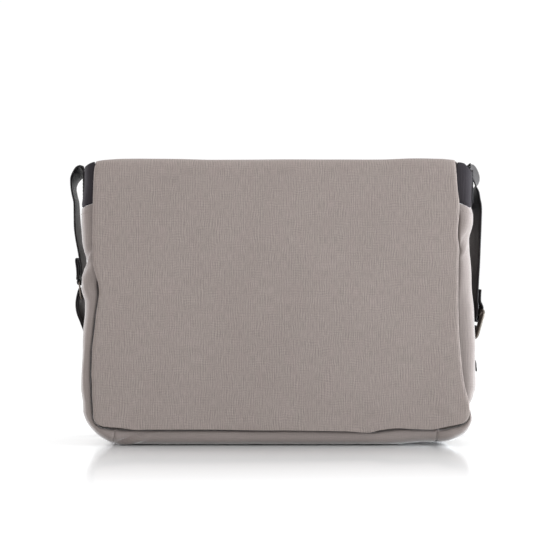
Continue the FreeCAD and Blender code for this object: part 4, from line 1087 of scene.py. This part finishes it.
# anchors: the webbing sewn flat on the black ends
anchor_lines = []
for name, side in (("left", -1.0), ("right", 1.0)):
    zz, kk = np.meshgrid(along(257, 291.5, 3), along(-19, 19, 3.8), indexing="ij")
    P = np.stack([side * (208.15 + 0.15 * np.sin(kk / 8)), kk, zz], -1)
    finish_piece(shell("strap_anchor_%s_band" % name, P, np.stack([kk, zz], -1), 1.5, [STRAPWEB]), "webbing", "strap_anchor_" + name)
    cs = [(-16, 259.5), (16, 259.5), (16, 284), (-16, 284), (-16, 259.5), (16, 284)], [(16, 259.5), (-16, 284)]
    for poly in cs:
        pts = []
        for (a0, b0), (a1, b1) in zip(poly[:-1], poly[1:]):
            for q in np.linspace(0, 1, 10):
                pts.append((side * 209.0, a0 + (a1 - a0) * q, b0 + (b1 - b0) * q))
        anchor_lines.append((np.array(pts), np.tile([side, 0.0, 0.0], (len(pts), 1))))
finish_piece(stitches("anchor_stitching", anchor_lines, BLACKTHREAD, r=0.22, lift=0.02, sink=0.3), "webbing")

# where the metal pieces are: middle of the upper bar, direction down the
# piece, direction towards its front rail
MET = {
    "left": dict(side=-1.0, top=np.array([-211.4, 0.0, 172.3]), down=unit(np.array([2.0, 0.4, -17.0])), front=np.array([-0.045, -1.0, -0.02]), span=17.2, bars=3, wire=(1.3, 0.8), hw=21.9, ahead=0.0, loop=(2.3, 2.6)),
    "right": dict(side=1.0, top=np.array([209.28, 0.58, 141.53]), down=unit(np.array([-0.28, -0.03, -0.96])), front=np.array([0.375, -0.927, -0.08]), span=26.0, bars=2, wire=(3.8, 1.1), hw=24.7, ahead=0.9, loop=(2.9, 11.0)),
}
for m_ in MET.values():
    m_["front"] = unit(m_["front"] - np.dot(m_["front"], m_["down"]) * m_["down"])
    m_["out"] = unit(np.cross(m_["front"], m_["down"]))
    if m_["out"][0] * m_["side"] < 0:
        m_["out"] = -m_["out"]
L, R_ = MET["left"], MET["right"]


def loop_rows(bar, m_, turn, spread):
    """Rows that go round a bar from its inner side to its outer side and then
    back up as the sewn return; spread is how far out that lies."""
    o, dn, (ro, rd) = m_["out"], m_["down"], m_["loop"]
    rows = []
    for ang in (180, 135, 90, 45, 0):
        a = math.radians(ang)
        rows.append((*(bar + o * (ro * math.cos(a)) + dn * (rd * math.sin(a))), turn, math.degrees(m_["front"][2])))
    for t, w in spread:
        rows.append((*w(t), turn))
    return rows


# left: from the anchor over the fold and down to the adjuster, round its
# upper bar and back up, with the cut end folded under
sd = -1.0
fall_l = [(-208.4, 0.0, 285.5, 0.0, 0), (-208.8, 0.0, 289.0, -0.5, 7), (-210.2, 0.0, 290.9, -1.2, 16), (-212.7, 0.0, 290.4, -1.4, 20), (-216.0, 0.0, 287.4, 0.0, 19),
          (-219.3, 0.0, 281.8, 3.6, 12), (-220.5, 0.0, 274.0, 2.6, 4), (-219.4, 0.1, 266.0, 2.2, 0), (-217.6, 0.3, 258.0, 2.4, 0),
          (-217.0, 0.5, 245.0, 3.2, 0), (-216.2, 0.6, 230.0, 4.6, 0), (-214.4, 0.5, 217.0, 4.8, 0), (-212.3, 0.2, 206.5, 5.0, 0),
          (-210.9, 0.0, 199.0, 5.2, 0), (-210.0, 0.0, 192.0, 3.8, 0), (-209.6, 0.0, 185.0, 2.6, 0), (-209.4, 0.0, 178.5, 2.0, 0)]
folded = [(-213.1, 0.0, 176.5), (-212.4, 0.0, 182.0), (-212.5, 0.0, 188.0), (-213.2, 0.0, 193.0), (-213.8, 0.0, 196.2), (-214.5, 0.0, 197.3), (-215.4, 0.0, 197.0),
          (-215.7, 0.0, 195.2), (-215.2, 0.0, 191.0), (-214.5, 0.0, 185.0), (-214.3, 0.0, 179.5), (-214.6, 0.0, 175.0)]
rows = fall_l + loop_rows(L["top"], L, 2.6, []) + [r + (2.2,) for r in folded]
fold_left, FLP, _ = ribbon("strap_short_left_band", rows, facing(sd), WIDE, THICK, [STRAPWEB], 1.0, 10)


def beside(rows_, gap):
    """Point outside the fall at a height, gap away from its middle."""
    zs = np.array([r[2] for r in rows_])
    order = np.argsort(zs)
    def at(z, extra=0.0):
        p = [np.interp(z, zs[order], np.array([r[k] for r in rows_])[order]) for k in (0, 1)]
        return (p[0] + math.copysign(gap + extra, p[0]), p[1], z)
    return at


# right
sd = 1.0
fall_r = [(208.4, 0.0, 285.5, 0.0, 0), (208.0, 0.0, 290.0, -3.0, 0), (206.6, 0.0, 294.2, -8.0, -1), (205.8, 0.0, 296.6, -10.5, -1), (206.5, 0.0, 297.9, -12.0, -2),
          (208.4, 0.0, 296.6, -15.0, -2), (210.6, 0.0, 292.0, -18.0, -2), (212.6, 0.0, 286.8, -18.0, -1), (213.7, 0.0, 282.0, -15.0, 0), (213.8, 0.1, 278.2, -10.0, 0),
          (213.1, 0.3, 274.2, -2.5, 0), (213.0, 0.5, 269.5, 4.5, 0), (213.4, 0.6, 262.0, 7.5, 0), (214.2, 0.8, 253.5, 10.0, 0), (213.6, 1.0, 240.0, 11.8, 0), (212.2, 1.0, 217.0, 13.5, 0),
          (210.7, 0.9, 192.0, 15.0, 0), (209.2, 0.8, 172.0, 16.2, 0), (208.2, 0.7, 157.0, 17.6, 0), (207.5, 0.6, 149.5, 18.8, 0)]
out_r = beside(fall_r[-4:], 1.68)
rows = fall_r + loop_rows(R_["top"], R_, 21.6, [(145.4, lambda z: (212.5, 1.5, z)), (151.0, lambda z: out_r(z, 0.75)), (156.5, lambda z: out_r(z, 0.05)), (164.0, lambda z: out_r(z, -0.03))])
fold_right, FRP, _ = ribbon("strap_short_right_band", rows, facing(sd), WIDE, THICK, [STRAPWEB], 1.6, 10)

# long piece: from the end of its free tail up outside, over the adjuster's
# middle bar, through under its lower bar, behind the bag along the floor and
# up to the ring
bar_l = L["top"] + L["down"] * 8.7
bar_r = R_["top"] + R_["down"] * R_["span"]
main_l = [(-211.9, 0.5, 156.0, 3.2), (-212.3, 1.0, 152.6, 4.6), (-212.3, 2.0, 149.0, 6.6),
          (-211.4, 4.6, 142.8, 6.4), (-209.6, 8.4, 135.6, 5.4), (-207.7, 13.5, 128.0, 3.8), (-206.8, 20.5, 118.0, 2.3), (-206.9, 29.0, 106.0, 1.5),
          (-207.7, 42.0, 88.0, 1.5), (-208.2, 56.0, 69.0, 1.0), (-207.4, 69.0, 52.0, 0.5),
          (-205.4, 79.0, 37.0, 0.0), (-203.6, 85.8, 25.5, 0.0), (-198.5, 89.6, 17.5, 0.0), (-189.0, 91.5, 10.8, 0.0), (-177.5, 92.0, 5.0, 0.0), (-163.0, 92.5, 1.8, 0.0),
          (-135.0, 93.6, 1.2, 0.0), (-95.0, 95.0, 2.2, 0.0), (-40.0, 92.0, 1.3, 0.0), (30.0, 90.0, 1.5, 0.0), (90.0, 91.5, 2.4, 0.0), (135.0, 93.0, 1.3, 0.0),
          (163.0, 92.6, 1.8, 0.0), (177.5, 92.0, 5.0, 0.0), (189.0, 91.6, 10.8, 0.0), (198.5, 89.8, 17.5, 0.0), (203.6, 86.0, 25.5, 0.0), (205.8, 78.0, 36.5, 0.0),
          (207.4, 65.0, 49.5, 0.0), (208.2, 51.0, 61.0, 0.0), (208.2, 37.0, 72.0, 0.0), (207.3, 24.0, 82.5, 1.5), (204.0, 12.0, 92.5, 7.0), (200.4, 3.2, 102.0, 14.0), (198.5, 0.2, 110.4, 22.6)]
c_rows = [(r[0], r[1], r[2], r[3] if r[0] > 0 else -r[3]) for r in main_l]
tail_rows = []
for r in c_rows:
    if r[0] < 0 and 40 < r[2] < 150:
        k = smooth((90 - r[2]) / 50.0)
        tail_rows.append((r[0] - 1.85 - 1.2 * k, r[1] - 0.3 + 0.7 * k, r[2], r[3] - 1.5 * k))
wrap = []
for ang in (0, 45, 90, 135, 180):
    a = math.radians(ang)
    wrap.append((*(bar_l + L["out"] * (2.15 * math.cos(a)) - L["down"] * (2.4 * math.sin(a))), -2.6, math.degrees(L["front"][2])))
first = [(-214.2, 1.0, 153.6, -5.0), (-213.7, 0.4, 157.4, -4.0), (-213.1, 0.2, 160.4, -3.4)]
last = [(-208.8, 0.1, 161.2, -3.0), (-210.3, 0.3, 158.5, -3.0)]
rows = tail_rows[::-1] + first + wrap + last + c_rows
# end of the long piece: round the ring's lower bar and back as a sewn return
for ang in (180, 135, 90, 45, 0):
    a = math.radians(ang)
    rows.append((*(bar_r + R_["out"] * (3.0 * math.cos(a)) - R_["down"] * (10.4 * math.sin(a))), 21.6, math.degrees(R_["front"][2])))
rows += [(203.2, 1.4, 107.0, 17.5), (203.3, 5.0, 100.6, 13.0), (205.9, 12.6, 92.8, 7.5), (207.6, 18.0, 88.2, 5.0)]


def long_ref(turn, tilt=0.0):
    a, b = math.radians(turn), math.radians(tilt)
    return (math.sin(a), -math.cos(a) * math.cos(b), math.sin(b))


long_band, LP, LW = ribbon("strap_long_band", rows, long_ref, WIDE, THICK, [STRAPWEB], 2.0, 10)

for ob, nodes in ((fold_left, ("strap_short_left",)), (fold_right, ("strap_short_right",))):
    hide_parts(*nodes)
    s_ = -1.0 if ob is fold_left else 1.0
    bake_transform(ob)
finish_piece(long_band, "webbing", "strap_long", body="strap")


# metal pieces
def metal_piece(name, m_, node):
    f, dn, o = m_["front"], m_["down"], m_["out"]
    hw, half = m_["hw"], m_["span"] / 2
    mid = m_["top"] + dn * half + f * m_["ahead"]
    V, F = [], []
    ring = rounded(hw, half, 3.2, 5)
    pts = [mid + f * a + dn * b for a, b in ring]
    pts = np.array(pts)
    n = len(pts)
    T = unit(np.roll(pts, -1, 0) - np.roll(pts, 1, 0))
    side_ = unit(np.cross(T, o))
    sect = rounded(*m_["wire"], 0.5, 3)
    v2, f2 = tube([(p, s_, o) for p, s_ in zip(pts, side_)], sect, closed=True)
    V += v2
    F += f2
    if m_["bars"] == 3:
        b = m_["top"] + dn * 8.7
        line = [(b + f * a, dn, o) for a in np.linspace(-hw + 0.5, hw - 0.5, 12)]
        v2, f2 = tube(line, rounded(m_["wire"][0] * 0.95, m_["wire"][1], 0.5, 3))
        F += [tuple(i + len(V) for i in q) for q in f2]
        V += v2
    ob = make(name, V, F, V, [DARK])
    finish_piece(ob, "dark_metal", node, body="strap")


metal_piece("adjuster_metal", MET["left"], "strap_adjuster")
metal_piece("ring_metal", MET["right"], "strap_ring")


# box stitching on the sewn returns: from rows of the webbing itself
def return_stitch(name, P, t0, t1, body):
    run = np.concatenate([[0], np.cumsum(np.linalg.norm(np.diff(P[:, 5], axis=0), axis=1))])
    run = run[-1] - run
    _, _, N = normals(P)
    sg = np.sign(N[-1, 5, 0] * P[-1, 5, 0])

    def at(t, k):
        i = float(np.interp(t, run[::-1], np.arange(len(run))[::-1]))
        j = (k / WIDE + 0.5) * (P.shape[1] - 1)
        i0, j0 = min(int(i), P.shape[0] - 2), min(int(j), P.shape[1] - 2)
        fi, fj = i - i0, j - j0
        out = []
        for G in (P, N):
            out.append(G[i0, j0] * (1 - fi) * (1 - fj) + G[i0 + 1, j0] * fi * (1 - fj) + G[i0, j0 + 1] * (1 - fi) * fj + G[i0 + 1, j0 + 1] * fi * fj)
        return out[0] + out[1] * sg * 0.82, out[1] * sg
    lines = []
    for poly in ([(-16, t0), (16, t0), (16, t1), (-16, t1), (-16, t0)], [(-16, t0), (16, t1)], [(16, t0), (-16, t1)]):
        pts = [at(b0 + (b1 - b0) * q, a0 + (a1 - a0) * q) for (a0, b0), (a1, b1) in zip(poly[:-1], poly[1:]) for q in np.linspace(0, 1, 10)]
        lines.append((np.array([p for p, _ in pts]), np.array([n_ for _, n_ in pts])))
    finish_piece(stitches(name, lines, BLACKTHREAD, r=0.3), "webbing", body=body)


return_stitch("short_left_stitching", FLP, 2.5, 12.5, "strap")
return_stitch("short_right_stitching", FRP, 2.5, 11.0, "strap")
return_stitch("long_end_stitching", LP, 3.5, 16.0, "strap")

# ------------------------------------------------------- CAD pieces that stay
for node, m in (("base_board", BOARD), ("zip_stop_left", NICKEL), ("zip_stop_right", NICKEL), ("zip_slider", DARK), ("zip_pull", DARK),
                ("snap_socket_left", NICKEL), ("snap_socket_right", NICKEL), ("snap_stud_left", NICKEL), ("snap_stud_right", NICKEL)):
    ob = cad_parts[node]
    if not ob.material_slots:
        ob.data.materials.append(m)
    for sl in ob.material_slots:
        sl.material = m

# ------------------------------------------------------------ floor and light
bm = bmesh.new()
bmesh.ops.create_grid(bm, x_segments=2, y_segments=2, size=60.0)
me = bpy.data.meshes.new("studio_floor")
bm.to_mesh(me)
bm.free()
floor = bpy.data.objects.new("studio_floor", me)
floor.location = (0, 0, -0.0002)
bpy.context.scene.collection.objects.link(floor)
n = Net("floor_white_painted_shade")
x, y, z = n.place()
dx = n.math("MAXIMUM", n.math("SUBTRACT", n.math("ABSOLUTE", x), 0.20), 0.0)
dy = n.math("MAXIMUM", n.math("SUBTRACT", n.math("ABSOLUTE", y), 0.052), 0.0)
dist = n.math("SQRT", n.math("ADD", n.math("MULTIPLY", dx, dx), n.math("MULTIPLY", dy, dy)))
gloss = n.math("SUBTRACT", 0.655, n.math("MULTIPLY", dist, 0.83), clamp=True)
glossy = n.t.nodes.new("ShaderNodeBsdfGlossy")
glossy.inputs["Roughness"].default_value = 0.09
glossy.inputs["Color"].default_value = (1, 1, 1, 1)
diffuse = n.t.nodes.new("ShaderNodeBsdfDiffuse")
# painted shade: the floor's colour is 0.85 grey near the bag and rises to white between 0.18 and 0.52 m away, so the
# floor darkens around and under the bag; its mirror share also falls with distance from the bag
painted_floor_shade = n.spread(dist, 0.18, 0.52)
n.t.links.new(n.mix(painted_floor_shade, (0.85, 0.85, 0.85), (1.0, 1.0, 1.0)), diffuse.inputs["Color"])
mixer = n.t.nodes.new("ShaderNodeMixShader")
n.t.links.new(gloss, mixer.inputs[0])
n.t.links.new(diffuse.outputs[0], mixer.inputs[1])
n.t.links.new(glossy.outputs[0], mixer.inputs[2])
n.t.links.new(mixer.outputs[0], n.t.nodes["Material Output"].inputs[0])
me.materials.append(n.mat)

world = bpy.data.worlds.new("studio")
bpy.context.scene.world = world
world.use_nodes = True
world.node_tree.nodes["Background"].inputs[0].default_value = (1.0, 1.0, 1.0, 1.0)
world.node_tree.nodes["Background"].inputs[1].default_value = 1.03


def area(name, at, target, size, power, colour=(1, 1, 1)):
    li = bpy.data.lights.new(name, "AREA")
    li.shape = "RECTANGLE"
    li.size, li.size_y = size
    li.energy = power
    li.color = colour
    ob = bpy.data.objects.new(name, li)
    ob.location = at
    ob.rotation_euler = (Vector(target) - Vector(at)).to_track_quat("-Z", "Y").to_euler()
    bpy.context.scene.collection.objects.link(ob)


area("overhead", (0.0, 0.3, 2.0), (0, 0, 0), (2.0, 2.0), 15.5)
area("right_side", (1.8, -0.24, 0.27), (0.2, 0, 0.10), (0.9, 0.5), 48.0, (0.88, 0.945, 1.0))
area("left_side", (-1.8, 0.75, 0.30), (-0.2, 0, 0.12), (0.9, 0.6), 20.0, (0.93, 0.945, 1.0))

cam = bpy.data.cameras.new("camera")
cam.sensor_width = 36.0
cam.lens = 36.0 * 2200.0 / 583.8
cam_ob = bpy.data.objects.new("camera", cam)
cam_ob.location = (0.0, -2.26, 0.1764)
cam_ob.rotation_euler = (math.pi / 2, 0, 0)
bpy.context.scene.collection.objects.link(cam_ob)
bpy.context.scene.camera = cam_ob
bpy.context.scene.view_settings.view_transform = "Standard"
